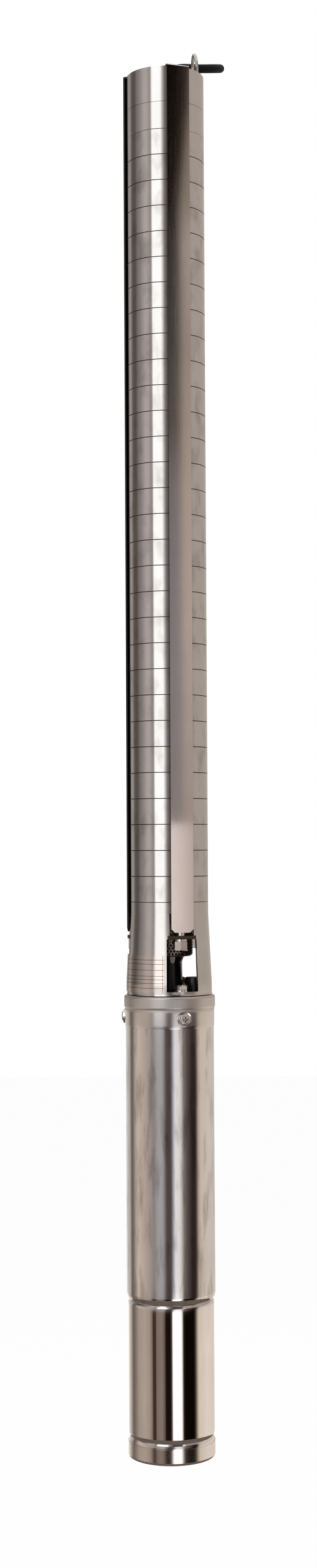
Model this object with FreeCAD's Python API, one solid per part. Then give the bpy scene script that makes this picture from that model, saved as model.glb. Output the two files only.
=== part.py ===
import FreeCAD, Part
import os
from math import acos, atan2, copysign, cos, pi, radians, sin, sqrt, tan

# Submersible well pump with its motor, hung by the thread in its discharge head.
# Millimetres. Z points up, and the origin is the centre of the discharge mouth.
# An azimuth is 0 at the front (-Y) and grows towards +X.

# Stack of bowls and discharge head
STACK_R = 41.2
HEAD_H = 66.0
HEAD_THIN_H = 28.7
HEAD_THICK_WALL = 2.0
SHEET = 1.0
BOWL_PITCH = 26.95
BOWL_COUNT = 30
BOWL_GROUPS = 3
SEAM_CHAMFER = 0.3
SPIGOT_H = 1.5
SPIGOT_WALL = 1.1
SLIP = 0.1

# Discharge socket, for a 1 1/2 inch riser pipe
SOCKET_BORE_R = 22.4
SOCKET_WALL = 4.6
SOCKET_L = 24.0
WEB_DROP = 8.0
WEB_T = 3.0

# Non-return valve
GUIDE_T = 3.0
GUIDE_HUB_R = 8.0
GUIDE_HUB_DROP = 1.6
GUIDE_HUB_RISE = 4.4
GUIDE_ARMS = 3
GUIDE_ARM_W = 5.0
GUIDE_RING_W = 4.0
SEAT_T = 3.0
SEAT_BORE_R = 19.0
SEAT_BASE_H = 3.0
CONE_LAP = 3.0
CONE_RIM_T = 2.0
CONE_H = 4.0
STEM_R = 4.0
VALVE_LIFT = 7.0
STEM_SPARE = 3.0
SPRING_R = 6.4
SPRING_WIRE_R = 0.5
SPRING_TURNS = 4

# Pump stage
EYE_R = 19.0
NECK_RING_WALL = 1.4
NECK_RING_RISE = 1.0
NECK_GAP = 0.4
IMPELLER_NECK_WALL = 1.4
IMPELLER_R = 31.0
IMPELLER_H = 9.0
IMPELLER_SHEET = 1.2
IMPELLER_BLADES = 6
IMPELLER_HUB_R = 10.5
IMPELLER_HUB_TAPER = 1.5
IMPELLER_HUB_DROP = 2.0
NECK_ROUND = 2.0
BLADE_T = 1.2
BLADE_IN_R = 16.5
BLADE_INSET = 0.5
BLADE_SWEEP = -60.0
BLADE_SINK_FRONT = 0.1
BLADE_SINK_BACK = 0.3
GUIDE_VANES = 7
GUIDE_VANE_H = 7.0
GUIDE_VANE_IN_R = 19.6
GUIDE_VANE_TIP_GAP = 2.7
GUIDE_VANE_SWEEP = 55.0
VANE_BEND = 0.38
GUIDE_DISC_R = 35.0
STAGE_GAP = 1.2
SHAFT_R = 7.0
BUSH_WALL = 4.0
BUSH_H = 8.0
RUN_FIT = 0.05

# Straps that clamp the stack
STRAP_SIDES = ["front", "rear", "left"]
STRAP_AZIMUTH = 19.0
STRAP_W = 24.5
STRAP_T = 1.5
STRAP_SEAT = 0.05
STRAP_PAST = 31.2
STRAP_CHAMFER = 3.8
HOOK_REACH = 7.0
HOOK_LIP = 4.0
HOOK_ROUND = 1.35

# Studs, nuts and spring washers of the straps and the motor flange
STUD_R = 4.0
STUD_UP = 17.0
STUD_SHORT = 0.3
NUT_AF = 12.7
NUT_FACE_IN = 0.3
NUT_CHAMFER_ANGLE = 30.0
STRAP_NUT_H = 9.8
STRAP_NUT_TURN = 11.0
MOTOR_NUT_H = 4.6
MOTOR_NUT_TURN = 0.0
WASHER_R = 6.3
WASHER_T = 2.0
WASHER_SPLIT = 1.0
HOLE_GAP = 0.3
NUT_GAP = 0.6

# Suction bracket
BRACKET_COLLAR_H = 12.0
BRACKET_FOOT_IN = 3.1
BRACKET_H = 96.5
BRACKET_WALL = 2.0
SKIRT_H = 2.5
SKIRT_LAP = 1.0
SKIRT_FLARE = 0.35
FOOT_T = 3.5
FOOT_WALL_H = 7.0
FOOT_RIM_W = 6.6
WINDOW_HALF_ANGLE = 22.7
LUG_DROP = 34.6
LUG_T = 3.6
LUG_IN_R = 30.5
LUG_W = 30.0
SLOT_DROP = 11.5
SLOT_W = 26.4
SPIDER_ARMS = 3
SPIDER_ARM_W = 5.0
SPIDER_DROP = 9.0
SPIDER_HUB_WALL = 3.0
SPIDER_LAP = 3.0
ARM_FIRST = 60.0
WINDOW_LEDGE = 4.0
CUT_PAST = 3.0

# Suction strainer
BASKET_R = 24.6
BASKET_T = 0.8
BASKET_DROP = 57.1
BASKET_HOLE_GAP = 1.0
BASKET_ROUND = 3.5
BASKET_TAB_W = 6.0
BASKET_TAB_H = 7.0
BASKET_TAB_AZIMUTH = 11.0
BASKET_TAB_IN = 0.3

# Nameplate, blank
PLATE_T = 0.5
PLATE_LIFT = 4.5
PLATE_NUT_GAP = 4.9
PLATE_FROM = -112.0
PLATE_TO = -7.0
PLATE_SEAT = 0.1

# Shaft coupling
COUPLING_R = 12.7
COUPLING_COLLAR_R = 16.0
COUPLING_COLLAR_H = 12.0
COUPLING_TAPER_H = 8.0
COUPLING_DROP = 44.5
COUPLING_FOOT_R = 14.2
COUPLING_LIFT = 4.0
SHAFT_MEET_GAP = 0.5

# Motor flange, to the four inch standard
FLANGE_R = 47.75
PILOT_IN = 4.09
PILOT_H = 1.5
MOTOR_STUD_IN = 9.65
MOTOR_STUDS = 4
MOTOR_SHAFT_R = 7.9
MOTOR_SHAFT_OUT = 38.1
STUD_SINK = 12.0

# Motor cap
CAP_RIM_H = 11.0
CAP_RIM_ROUND = 2.5
CAP_SHEET = 1.0
CAP_LAP_T = 0.5
CAP_H = 33.0
CAP_STEP_H = 2.5
CAP_EDGE = 0.35
CAP_EDGE_H = 3.0
CAP_SCREW_DROP = 23.0
CAP_SCREWS = 3
CAP_SCREW_AZIMUTH = 19.0
CAP_SCREW_HEAD_R = 5.6
CAP_SCREW_HEAD_H = 2.6
CAP_SCREW_SHANK_R = 2.5
CAP_SCREW_L = 9.0
CAP_SCREW_ROUND = 1.5
CROSS_L = 5.6
CROSS_W = 1.2
CROSS_DEPTH = 1.4
CUP_R = 7.6
CUP_H = 1.2
CUP_LIP_H = 1.9
CUP_SINK = 2.0

# Motor shell and its rolled grooves
SHELL_IN = 1.35
SHELL_T = 1.2
LOWER_IN = 1.4
GROOVE_SLOPE_H = 7.6
GROOVE_STEP_H = 3.6
GROOVE_DEPTH = 1.5
LOWER_H = 132.8
BASE_GROOVE_SLOPE_H = 4.5
BASE_GROOVE_STEP_H = 5.2
BASE_GROOVE_DEPTH = 1.3
BASE_OUT = 0.5
BASE_ROUND = 3.0
BASE_H = 16.9

# Motor inside
STATOR_DROP = 73.0
STATOR_L = 200.0
STATOR_BACK_T = 9.2
STATOR_SLOTS = 12
SLOT_DEPTH = 10.0
TOOTH_TIP_T = 2.0
SLOT_WIRE_W = 5.0
END_TURN_H = 22.0
END_TURN_LAP = 4.0
END_TURN_IN = 1.0
END_TURN_GAP = 6.4
AIR_GAP = 0.4
ROTOR_SHAFT_R = 10.0
END_BELL_H = 40.0
BELL_CONE_H = 12.0
BELL_BOSS_WALL = 6.0
BELL_RIM_IN = 1.0
SEAL_R = 16.0
SEAL_H = 9.0
SLINGER_GAP = 0.5
SLINGER_EDGE_H = 1.5
SLINGER_TAPER = 2.0
MOTOR_BUSH_WALL = 4.0
MOTOR_BUSH_H = 22.0
CARRIER_RIM_H = 6.0
CARRIER_BOSS_H = 8.0
CARRIER_BOSS_WALL = 6.0
THRUST_DISC_DROP = 2.5
THRUST_ROOM = 13.8
THRUST_DISC_T = 8.0
THRUST_PADS = 6
PAD_IN_R = 14.0
PAD_INSET = 2.0
PAD_T = 5.0
PAD_GAP_ANGLE = 8.0
THRUST_SEAT_T = 12.0
DIAPHRAGM_T = 2.0
DIAPHRAGM_DISH = 12.0
DIAPHRAGM_SEAT = 2.0
BASE_WALL = 3.0
BASE_RECESS = 2.0
BASE_FOOT_W = 4.0

# Rope ring on the discharge head
RING_WIRE_R = 1.7
RING_R = 12.3
RING_Z = 13.0
RING_AZIMUTH = 90.0
RING_SEAT_R = 32.0
RING_YAW = 8.0
RING_LEAN = 5.0
RING_LUG_W = 5.0
RING_LUG_L = 6.0
RING_LUG_TOP = 3.5
RING_LUG_GAP = 0.05

# Motor lead, its plug and its guard
LEAD_R = 4.6
PLUG_AZIMUTH = 68.0
PLUG_SEAT_IN = 15.66
PLUG_R = 8.8
PLUG_RIM_R = 9.6
PLUG_RIM_H = 5.0
PLUG_ROUND = 2.0
PLUG_H = 17.5
PLUG_SINK = 9.0
PLUG_NECK_L = 7.4
PLUG_ROOM = 1.2
GUARD_AZIMUTH = 199.0
GUARD_IN_W = 10.4
GUARD_T = 0.8
GUARD_FLANGE = 5.0
GUARD_DROP = 22.0
GUARD_PAST = 18.5
GUARD_SEAT = 0.1
LEAD_SEAT_OUT = 5.0
GUARD_PLAY = 0.3
GUARD_SCREW_R = 1.7
GUARD_SCREW_H = 1.6
GUARD_SCREW_IN = 8.0
CORE_R = 1.3
CORE_L = 26.0
CORE_SPREAD_R = 2.0
CORE_BARE_L = 8.0
CORE_BARE_R = 0.8
CORES = 4

# Route of the lead, chosen by hand: in the window, heights from the motor's flange, then the free tail
LEAD_WINDOW_PATH = [
    (24.6, -0.5, 10.4),
    (23.9, 8.0, 10.4),
    (22.6, 18.0, 10.4),
    (21.4, 29.0, 10.5),
    (20.6, 40.0, 10.4),
    (16.5, 53.0, 9.4),
    (5.5, 61.0, 14.5),
    (-6.0, 60.0, 27.0),
    (-13.0, 53.0, 42.5),
    (-15.0, 46.0, 59.0),
]
LEAD_ENTRY_UP = 75.0
LEAD_RISER_UP = 90.0
LEAD_EXIT_DROP = 20.0
LEAD_EXIT_UP = 0.4
LEAD_TAIL_PATH = [
    (-5.1, 43.7, 17.6),
    (11.5, 43.9, 28.6),
    (38.3, 46.0, 28.0),
    (52.7, 53.8, 31.1),
    (61.0, 67.4, 35.9),
    (61.0, 83.0, 41.5),
    (52.7, 96.6, 46.3),
    (38.3, 104.4, 49.1),
    (16.5, 105.0, 48.0),
    (1.4, 102.5, 39.1),
    (-8.5, 100.0, 22.0),
    (-9.5, 97.0, -1.0),
    (-10.5, 92.5, -29.0),
    (-12.5, 86.0, -70.0),
    (-14.0, 78.0, -130.0),
    (-16.5, 71.0, -215.0),
    (-16.0, 67.5, -325.0),
    (-13.5, 66.0, -440.0),
    (-15.0, 67.0, -545.0),
    (-15.0, 67.0, -650.0),
]
ROUTE_CUT = 0.45

# Sizes that follow from the ones above
BOWL_IN_R = STACK_R - SHEET
HEAD_THICK_H = HEAD_H - HEAD_THIN_H
STRAP_AZIMUTHS = {side: STRAP_AZIMUTH + i * 360.0 / len(STRAP_SIDES) for i, side in enumerate(STRAP_SIDES)}
STACK_TOP_Z = -HEAD_H
STACK_END_Z = STACK_TOP_Z - BOWL_COUNT * BOWL_PITCH
SPIGOT_OUT_R = BOWL_IN_R - SLIP
BUSH_R = SHAFT_R + BUSH_WALL
NECK_RING_R = EYE_R - NECK_RING_WALL
NECK_R = NECK_RING_R - NECK_GAP
FLANGE_Z = STACK_END_Z - BRACKET_H - SKIRT_LAP
PILOT_Z = FLANGE_Z + PILOT_H
FOOT_TOP_Z = PILOT_Z + FOOT_T
FLARE_END_Z = FOOT_TOP_Z + FOOT_WALL_H
STRAP_END_Z = STACK_END_Z - STRAP_PAST
LUG_TOP_Z = STACK_END_Z - LUG_DROP
SLOT_TOP_Z = STACK_END_Z - SLOT_DROP
BASKET_END_Z = STACK_END_Z - BASKET_DROP
CAP_SCREW_Z = FLANGE_Z - CAP_SCREW_DROP
STATOR_TOP_Z = FLANGE_Z - STATOR_DROP
STATOR_END_Z = STATOR_TOP_Z - STATOR_L
CARRIER_TOP_Z = STATOR_END_Z - END_TURN_H - END_TURN_GAP
GROOVE_TOP_Z = CARRIER_TOP_Z - CARRIER_BOSS_H
GROOVE_MID_Z = GROOVE_TOP_Z - GROOVE_SLOPE_H
GROOVE_END_Z = GROOVE_MID_Z - GROOVE_STEP_H
BASE_GROOVE_TOP_Z = GROOVE_END_Z - LOWER_H
BASE_GROOVE_MID_Z = BASE_GROOVE_TOP_Z - BASE_GROOVE_SLOPE_H
SHELL_END_Z = BASE_GROOVE_MID_Z - BASE_GROOVE_STEP_H
BOTTOM_Z = SHELL_END_Z - BASE_H
GUARD_TOP_Z = -GUARD_DROP
GUARD_BOTTOM_Z = STACK_END_Z - GUARD_PAST
MOTOR_SHAFT_TOP_Z = PILOT_Z + MOTOR_SHAFT_OUT
PUMP_SHAFT_END_Z = MOTOR_SHAFT_TOP_Z + SHAFT_MEET_GAP
STRAP_IN_R = STACK_R + STRAP_SEAT
STRAP_STUD_SEAT_R = STRAP_IN_R - STUD_R
LUG_BOTTOM_Z = LUG_TOP_Z - LUG_T
STRAP_NUT_TOP_Z = LUG_BOTTOM_Z - WASHER_T
STRAP_NUT_END_Z = STRAP_NUT_TOP_Z - STRAP_NUT_H
PLATE_BOTTOM_Z = FLANGE_Z + PLATE_LIFT
PLATE_TOP_Z = STRAP_NUT_END_Z - PLATE_NUT_GAP
BASE_RIM_Z = BASE_GROOVE_TOP_Z + DIAPHRAGM_SEAT
SHELL_TOP_Z = FLANGE_Z - CAP_RIM_H
PILOT_R = FLANGE_R - PILOT_IN
PLUG_SEAT_R = PILOT_R - PLUG_SEAT_IN
GUIDE_VANE_OUT_R = STACK_R - SHEET - GUIDE_VANE_TIP_GAP
LEAD_SEAT_R = STACK_R + LEAD_SEAT_OUT
MOTOR_STUD_SEAT_R = FLANGE_R - MOTOR_STUD_IN
BRACKET_FOOT_R = FLANGE_R - BRACKET_FOOT_IN
SKIRT_R = BRACKET_FOOT_R + SKIRT_FLARE
FOOT_IN_R = MOTOR_STUD_SEAT_R - FOOT_RIM_W
SHELL_R = FLANGE_R - SHELL_IN
SHELL_IN_R = SHELL_R - SHELL_T
CAP_R = SHELL_R + CAP_LAP_T
LOWER_R = SHELL_R - LOWER_IN
LOWER_IN_R = LOWER_R - SHELL_T
GROOVE_R = LOWER_R - GROOVE_DEPTH
BASE_GROOVE_R = LOWER_R - BASE_GROOVE_DEPTH
BASE_R = LOWER_R + BASE_OUT
SLOT_OUT_R = SHELL_IN_R - STATOR_BACK_T
SLOT_IN_R = SLOT_OUT_R - SLOT_DEPTH
STATOR_IN_R = SLOT_IN_R - TOOTH_TIP_T
THRUST_DISC_R = LOWER_IN_R - THRUST_ROOM
PAD_OUT_R = THRUST_DISC_R - PAD_INSET
MOTOR_STUD_FIRST = STRAP_AZIMUTH


def at(azimuth, radius, z=0.0):
    """Point at an azimuth in degrees and a radius from the pump's axis."""
    a = radians(azimuth)
    return FreeCAD.Vector(radius * sin(a), -radius * cos(a), z)


def turned(shape, azimuth):
    """Copy of a shape made at the front, turned to its azimuth."""
    copy = shape.copy()
    copy.rotate(FreeCAD.Vector(), FreeCAD.Vector(0, 0, 1), azimuth)
    return copy


def moved(shape, x=0.0, y=0.0, z=0.0):
    copy = shape.copy()
    copy.translate(FreeCAD.Vector(x, y, z))
    return copy


def tube(r_out, r_in, z_low, z_high, centre=(0.0, 0.0)):
    """Ring about an upright axis, or a plain round bar where r_in is 0."""
    base = FreeCAD.Vector(centre[0], centre[1], z_low)
    ring = Part.makeCylinder(r_out, z_high - z_low, base)
    if r_in > 0:
        ring = ring.cut(Part.makeCylinder(r_in, z_high - z_low, base))
    return ring


def edge_between(a, b):
    """Straight edge, or an arc where the second point also holds its middle point (r, z, mid_r, mid_z)."""
    start = FreeCAD.Vector(a[0], 0, a[1])
    end = FreeCAD.Vector(b[0], 0, b[1])
    if len(b) == 4:
        return Part.Arc(start, FreeCAD.Vector(b[2], 0, b[3]), end).toShape()
    return Part.LineSegment(start, end).toShape()


def round_middle(wall_r, wall_z, end_r, end_z):
    """Middle of the arc that leaves an upright wall without a corner and ends at a point."""
    step_r = end_r - wall_r
    step_z = end_z - wall_z
    radius = (step_r ** 2 + step_z ** 2) / (2 * abs(step_r))
    half = atan2(abs(step_r), abs(step_z))
    return wall_r + copysign(radius * (1 - cos(half)), step_r), wall_z + copysign(radius * sin(half), step_z)


def groove_outline(wall_r, wall_z, groove_r, groove_z, end_r, end_z):
    """Wall that rolls into a groove and out again to another wall."""
    return [
        (wall_r, wall_z),
        (groove_r, groove_z) + round_middle(wall_r, wall_z, groove_r, groove_z),
        (end_r, end_z) + round_middle(end_r, end_z, groove_r, groove_z),
    ]


def backwards(outline):
    """The same outline from its last point to its first, its arcs kept."""
    ends = [point[:2] for point in reversed(outline)]
    middles = [point[2:] for point in reversed(outline)]
    return [end + middle for end, middle in zip(ends, [()] + middles)]


def turning(outline):
    """Solid of revolution about the pump's axis from a closed outline of (r, z) points."""
    edges = [edge_between(a, b) for a, b in zip(outline, outline[1:] + outline[:1])]
    face = Part.Face(Part.Wire(edges))
    return face.revolve(FreeCAD.Vector(), FreeCAD.Vector(0, 0, 1), 360)


def block(width, y_near, y_far, z_low, z_high, x_mid=0.0):
    """Box at the front: width along X, and its faces at two distances from the axis."""
    low, high = sorted((-y_near, -y_far))
    corner = FreeCAD.Vector(x_mid - width / 2, low, z_low)
    return Part.makeBox(width, high - low, z_high - z_low, corner)


def wedge(r_in, r_out, z_low, z_high, from_azimuth, to_azimuth):
    """Part of a ring between two azimuths."""
    points = [at(from_azimuth, r_in, z_low), at(from_azimuth, r_out, z_low)]
    middle = (from_azimuth + to_azimuth) / 2
    edges = [
        Part.LineSegment(points[0], points[1]).toShape(),
        Part.Arc(points[1], at(middle, r_out, z_low), at(to_azimuth, r_out, z_low)).toShape(),
        Part.LineSegment(at(to_azimuth, r_out, z_low), at(to_azimuth, r_in, z_low)).toShape(),
        Part.Arc(at(to_azimuth, r_in, z_low), at(middle, r_in, z_low), points[0]).toShape(),
    ]
    return Part.Face(Part.Wire(edges)).extrude(FreeCAD.Vector(0, 0, z_high - z_low))


def ring_of(shape, count, first=0.0):
    """Copies of a shape, evenly round the pump's axis."""
    return [turned(shape, first + i * 360.0 / count) for i in range(count)]


def nut(z_low, z_high, seat_r, turn):
    """Hexagon nut at the front with chamfered corners; the turn is how far its flat faces from outwards."""
    corner = NUT_AF / sqrt(3)
    points = []
    for i in range(7):
        a = radians(60 * i)
        points.append(FreeCAD.Vector(corner * cos(a), corner * sin(a), z_low))
    body = Part.Face(Part.makePolygon(points)).extrude(FreeCAD.Vector(0, 0, z_high - z_low))
    face_r = NUT_AF / 2 - NUT_FACE_IN
    past_r = corner + NUT_FACE_IN
    rise = (past_r - face_r) * tan(radians(NUT_CHAMFER_ANGLE))
    turned_body = turning([
        (STUD_R, z_low), (face_r, z_low), (past_r, z_low + rise), (past_r, z_high - rise),
        (face_r, z_high), (STUD_R, z_high),
    ])
    return moved(turned(body.common(turned_body), turn), y=-seat_r)


def curved_vane(r_in, r_out, sweep, thickness, z_low, z_high):
    """Upright curved blade from r_in to r_out that trails by an angle in degrees."""
    half = thickness / 2

    def face_points(shift):
        inner = at(0, r_in, z_low)
        middle = at(sweep * VANE_BEND, (r_in + r_out) / 2, z_low)
        outer = at(sweep, r_out, z_low)
        along = outer.sub(inner)
        side = FreeCAD.Vector(along.y, -along.x, 0).normalize().multiply(shift)
        return inner.add(side), middle.add(side), outer.add(side)

    a0, a1, a2 = face_points(half)
    b0, b1, b2 = face_points(-half)
    edges = [
        Part.Arc(a0, a1, a2).toShape(),
        Part.LineSegment(a2, b2).toShape(),
        Part.Arc(b2, b1, b0).toShape(),
        Part.LineSegment(b0, a0).toShape(),
    ]
    return Part.Face(Part.Wire(edges)).extrude(FreeCAD.Vector(0, 0, z_high - z_low))


def route_wire(points, name):
    """Straight runs joined by tangent arcs, each as large as its two runs allow."""
    nodes = [FreeCAD.Vector(*p) for p in points]
    edges = []
    radii = []
    last = nodes[0]
    for before, here, after in zip(nodes, nodes[1:], nodes[2:]):
        run_in = here.sub(before)
        run_out = after.sub(here)
        cut = ROUTE_CUT * min(run_in.Length, run_out.Length)
        turn = acos(max(-1.0, min(1.0, run_in.dot(run_out) / run_in.Length / run_out.Length)))
        radii.append(cut / tan(turn / 2))
        start = here.sub(FreeCAD.Vector(run_in).normalize().multiply(cut))
        end = here.add(FreeCAD.Vector(run_out).normalize().multiply(cut))
        chord_mid = start.add(end).multiply(0.5)
        bow = radii[-1] * (1 - cos(turn / 2))
        middle = chord_mid.add(here.sub(chord_mid).normalize().multiply(bow))
        edges.append(Part.LineSegment(last, start).toShape())
        edges.append(Part.Arc(start, middle, end).toShape())
        last = end
    edges.append(Part.LineSegment(last, nodes[-1]).toShape())
    wire = Part.Wire(edges)
    print(name, "length", round(wire.Length, 1), "radii", [round(r, 1) for r in radii])
    return wire


def lead_window_points():
    """Lead's route from its plug through the window, then straight up into the guard."""
    x, y, _ = at(GUARD_AZIMUTH, LEAD_SEAT_R)
    route = [(px, py, FLANGE_Z + up) for px, py, up in LEAD_WINDOW_PATH]
    return route + [(x, y, FLANGE_Z + LEAD_ENTRY_UP), (x, y, FLANGE_Z + LEAD_RISER_UP)]


def lead_tail_points():
    """Lead's route out of the guard, over the top and down behind the pump."""
    x, y, _ = at(GUARD_AZIMUTH, LEAD_SEAT_R)
    return [(x, y, -LEAD_EXIT_DROP), (x, y, LEAD_EXIT_UP)] + LEAD_TAIL_PATH


def cord_tube(points, radius, name):
    """Round cord along a route; its volume is printed beside section times length."""
    wire = route_wire(points, name)
    direction = FreeCAD.Vector(*points[1]).sub(FreeCAD.Vector(*points[0]))
    section = Part.Wire([Part.makeCircle(radius, FreeCAD.Vector(*points[0]), direction)])
    cord = wire.makePipeShell([section], True, True)
    print(name, "volume", round(cord.Volume, 1), "expected", round(pi * radius ** 2 * wire.Length, 1))
    return cord


def discharge_head():
    """Top casting and its sheet skirt, with the riser pipe's socket inside."""
    thick_in_r = STACK_R - HEAD_THICK_WALL
    socket_r = SOCKET_BORE_R + SOCKET_WALL
    outline = [
        (STACK_R, 0), (STACK_R, STACK_TOP_Z + SEAM_CHAMFER), (STACK_R - SEAM_CHAMFER, STACK_TOP_Z),
        (BOWL_IN_R, STACK_TOP_Z), (BOWL_IN_R, -HEAD_THICK_H), (thick_in_r, -HEAD_THICK_H),
        (thick_in_r, -WEB_DROP - WEB_T), (socket_r, -WEB_DROP - WEB_T), (socket_r, -SOCKET_L),
        (SOCKET_BORE_R, -SOCKET_L), (SOCKET_BORE_R, 0), (socket_r, 0),
        (socket_r, -WEB_DROP), (thick_in_r, -WEB_DROP), (thick_in_r, 0),
    ]
    seat = at(RING_AZIMUTH, RING_SEAT_R)
    lug = Part.makeBox(
        RING_LUG_W, RING_LUG_L, WEB_DROP + RING_LUG_TOP,
        FreeCAD.Vector(seat.x - RING_LUG_W / 2, seat.y - RING_LUG_L / 2, -WEB_DROP))
    return turning(outline).fuse(lug.cut(ring_wire(RING_LUG_GAP)))


def valve_guide():
    """Spider under the head's step that guides the valve stem."""
    top = -HEAD_THICK_H
    ring_in_r = BOWL_IN_R - GUIDE_RING_W
    hub_low = top - GUIDE_T - GUIDE_HUB_DROP
    hub_high = top + GUIDE_HUB_RISE
    bore = STEM_R + RUN_FIT
    guide = tube(BOWL_IN_R, ring_in_r, top - GUIDE_T, top)
    guide = guide.fuse(tube(GUIDE_HUB_R, bore, hub_low, hub_high))
    arm_in_r = (bore + GUIDE_HUB_R) / 2
    arm = block(GUIDE_ARM_W, arm_in_r, ring_in_r + SHEET, top - GUIDE_T, top)
    guide = guide.fuse(ring_of(arm, GUIDE_ARMS, ARM_FIRST))
    return guide.removeSplitter()


def valve_heights():
    """Seat face, the cone's face under the spring, and the underside of the guide's hub."""
    seat_z = STACK_TOP_Z + SEAT_BASE_H + SEAT_T
    spring_z = seat_z + CONE_H
    hub_low = -HEAD_THICK_H - GUIDE_T - GUIDE_HUB_DROP
    return seat_z, spring_z, hub_low


def valve_seat():
    seat_z = valve_heights()[0]
    return tube(BOWL_IN_R, SEAT_BORE_R, seat_z - SEAT_T, seat_z)


def valve_cone():
    """Poppet that rests on the seat, with its stem through the guide."""
    seat_z, spring_z, hub_low = valve_heights()
    rim_r = SEAT_BORE_R + CONE_LAP
    boss_r = SPRING_R + 2 * SPRING_WIRE_R
    stem_top = hub_low + STEM_SPARE + VALVE_LIFT
    outline = [
        (0, seat_z), (rim_r, seat_z), (rim_r, seat_z + CONE_RIM_T), (boss_r, spring_z),
        (STEM_R, spring_z), (STEM_R, stem_top), (0, stem_top),
    ]
    return turning(outline)


def valve_spring():
    """Return spring between the cone and the guide's hub, its ends just touching both."""
    spring_z, hub_low = valve_heights()[1:]
    height = hub_low - spring_z - 2 * SPRING_WIRE_R
    helix = Part.makeLongHelix(height / SPRING_TURNS, height, SPRING_R)
    wire_end = Part.makeCircle(SPRING_WIRE_R, FreeCAD.Vector(SPRING_R, 0, 0), FreeCAD.Vector(0, 1, 0))
    section = Part.Wire([wire_end])
    coil = Part.Wire(helix.Edges).makePipeShell([section], True, True)
    return moved(coil, z=spring_z + SPRING_WIRE_R)


def bowl_solid():
    """One pressed bowl, its top seam at Z 0: wall, floor with the eye, guide vanes and their disc."""
    end = -BOWL_PITCH
    disc_top = -SHEET - GUIDE_VANE_H
    outline = [
        (EYE_R, 0), (SPIGOT_OUT_R - SPIGOT_WALL, 0), (SPIGOT_OUT_R - SPIGOT_WALL, SPIGOT_H),
        (SPIGOT_OUT_R, SPIGOT_H), (SPIGOT_OUT_R, 0), (STACK_R - SEAM_CHAMFER, 0),
        (STACK_R, -SEAM_CHAMFER), (STACK_R, end + SEAM_CHAMFER), (STACK_R - SEAM_CHAMFER, end),
        (BOWL_IN_R, end), (BOWL_IN_R, -SHEET), (EYE_R, -SHEET),
    ]
    disc = tube(GUIDE_DISC_R, BUSH_R, disc_top - SHEET, disc_top)
    hub = tube(BUSH_R + SHEET, BUSH_R, disc_top - SHEET, disc_top + BUSH_H - SHEET)
    vane = curved_vane(
        GUIDE_VANE_IN_R, GUIDE_VANE_OUT_R, GUIDE_VANE_SWEEP, SHEET, disc_top - SHEET / 2, -SHEET / 2)
    return turning(outline).multiFuse([disc, hub] + ring_of(vane, GUIDE_VANES))


def neck_ring_solid():
    """Wear ring pressed in a bowl's eye, the bowl's top seam at Z 0."""
    return tube(EYE_R, NECK_RING_R, -SHEET, NECK_RING_RISE)


def bush_solid():
    """Bearing bush in a bowl's hub, the bowl's top seam at Z 0."""
    low = -2 * SHEET - GUIDE_VANE_H
    return tube(BUSH_R, SHAFT_R + RUN_FIT, low, low + BUSH_H)


def impeller_solid():
    """One impeller, the top seam of its bowl at Z 0: two shrouds, blades, hub and neck."""
    top = -2 * SHEET - GUIDE_VANE_H - STAGE_GAP
    back = top - IMPELLER_SHEET
    front = top - IMPELLER_H
    neck_end = -BOWL_PITCH - SHEET
    neck_in_r = NECK_R - IMPELLER_NECK_WALL
    hub_low = front - IMPELLER_HUB_DROP
    hub = [
        (SHAFT_R, top), (IMPELLER_R, top), (IMPELLER_R, back), (IMPELLER_HUB_R, back),
        (IMPELLER_HUB_R - IMPELLER_HUB_TAPER, hub_low), (SHAFT_R, hub_low),
    ]
    shroud = [
        (IMPELLER_R, front), (NECK_R + NECK_ROUND, front - IMPELLER_SHEET),
        (NECK_R, front - 2 * IMPELLER_SHEET), (NECK_R, neck_end), (neck_in_r, neck_end),
        (neck_in_r, front - IMPELLER_SHEET),
        (NECK_R + NECK_ROUND / 2, front), (IMPELLER_R, front + IMPELLER_SHEET),
    ]
    blade = curved_vane(
        BLADE_IN_R, IMPELLER_R - BLADE_INSET, BLADE_SWEEP, BLADE_T,
        front - BLADE_SINK_FRONT, back + BLADE_SINK_BACK)
    return turning(hub).multiFuse([turning(shroud)] + ring_of(blade, IMPELLER_BLADES))


def stacked(solid, first, last):
    """Copies of one stage's piece, from stage first up to but not last."""
    return [moved(solid, z=STACK_TOP_Z - i * BOWL_PITCH) for i in range(first, last)]


def strap():
    """Flat clamp strap at the front: hook over the head's rim, chamfered lower end."""
    half = STRAP_W / 2
    end = STRAP_END_Z
    face = [
        (-half, 0), (half, 0), (half, end + STRAP_CHAMFER), (half - STRAP_CHAMFER, end),
        (STRAP_CHAMFER - half, end), (-half, end + STRAP_CHAMFER), (-half, 0),
    ]
    out_r = STRAP_IN_R + STRAP_T
    wire = Part.makePolygon([FreeCAD.Vector(x, -STRAP_IN_R, z) for x, z in face])
    flat = Part.Face(wire).extrude(FreeCAD.Vector(0, -STRAP_T, 0))
    lip_r = out_r - HOOK_REACH
    hook = block(STRAP_W, lip_r, out_r, 0, STRAP_T)
    lip = block(STRAP_W, lip_r, lip_r + STRAP_T, -HOOK_LIP, STRAP_T)
    body = flat.multiFuse([hook, lip]).removeSplitter()
    top_edges = [
        e for e in body.Edges
        if abs(e.BoundBox.ZMin - STRAP_T) < 1e-6 and abs(e.BoundBox.YMin - e.BoundBox.YMax) < 1e-6
        and e.BoundBox.XLength > half and abs(e.BoundBox.YMin + out_r) < 1e-6
    ]
    return body.makeFillet(HOOK_ROUND, top_edges)


def strap_stud():
    """Stud welded to the back of the strap's end, through its lug."""
    return tube(STUD_R, 0, STRAP_NUT_END_Z + STUD_SHORT, STRAP_END_Z + STUD_UP, (0, -STRAP_STUD_SEAT_R))


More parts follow.
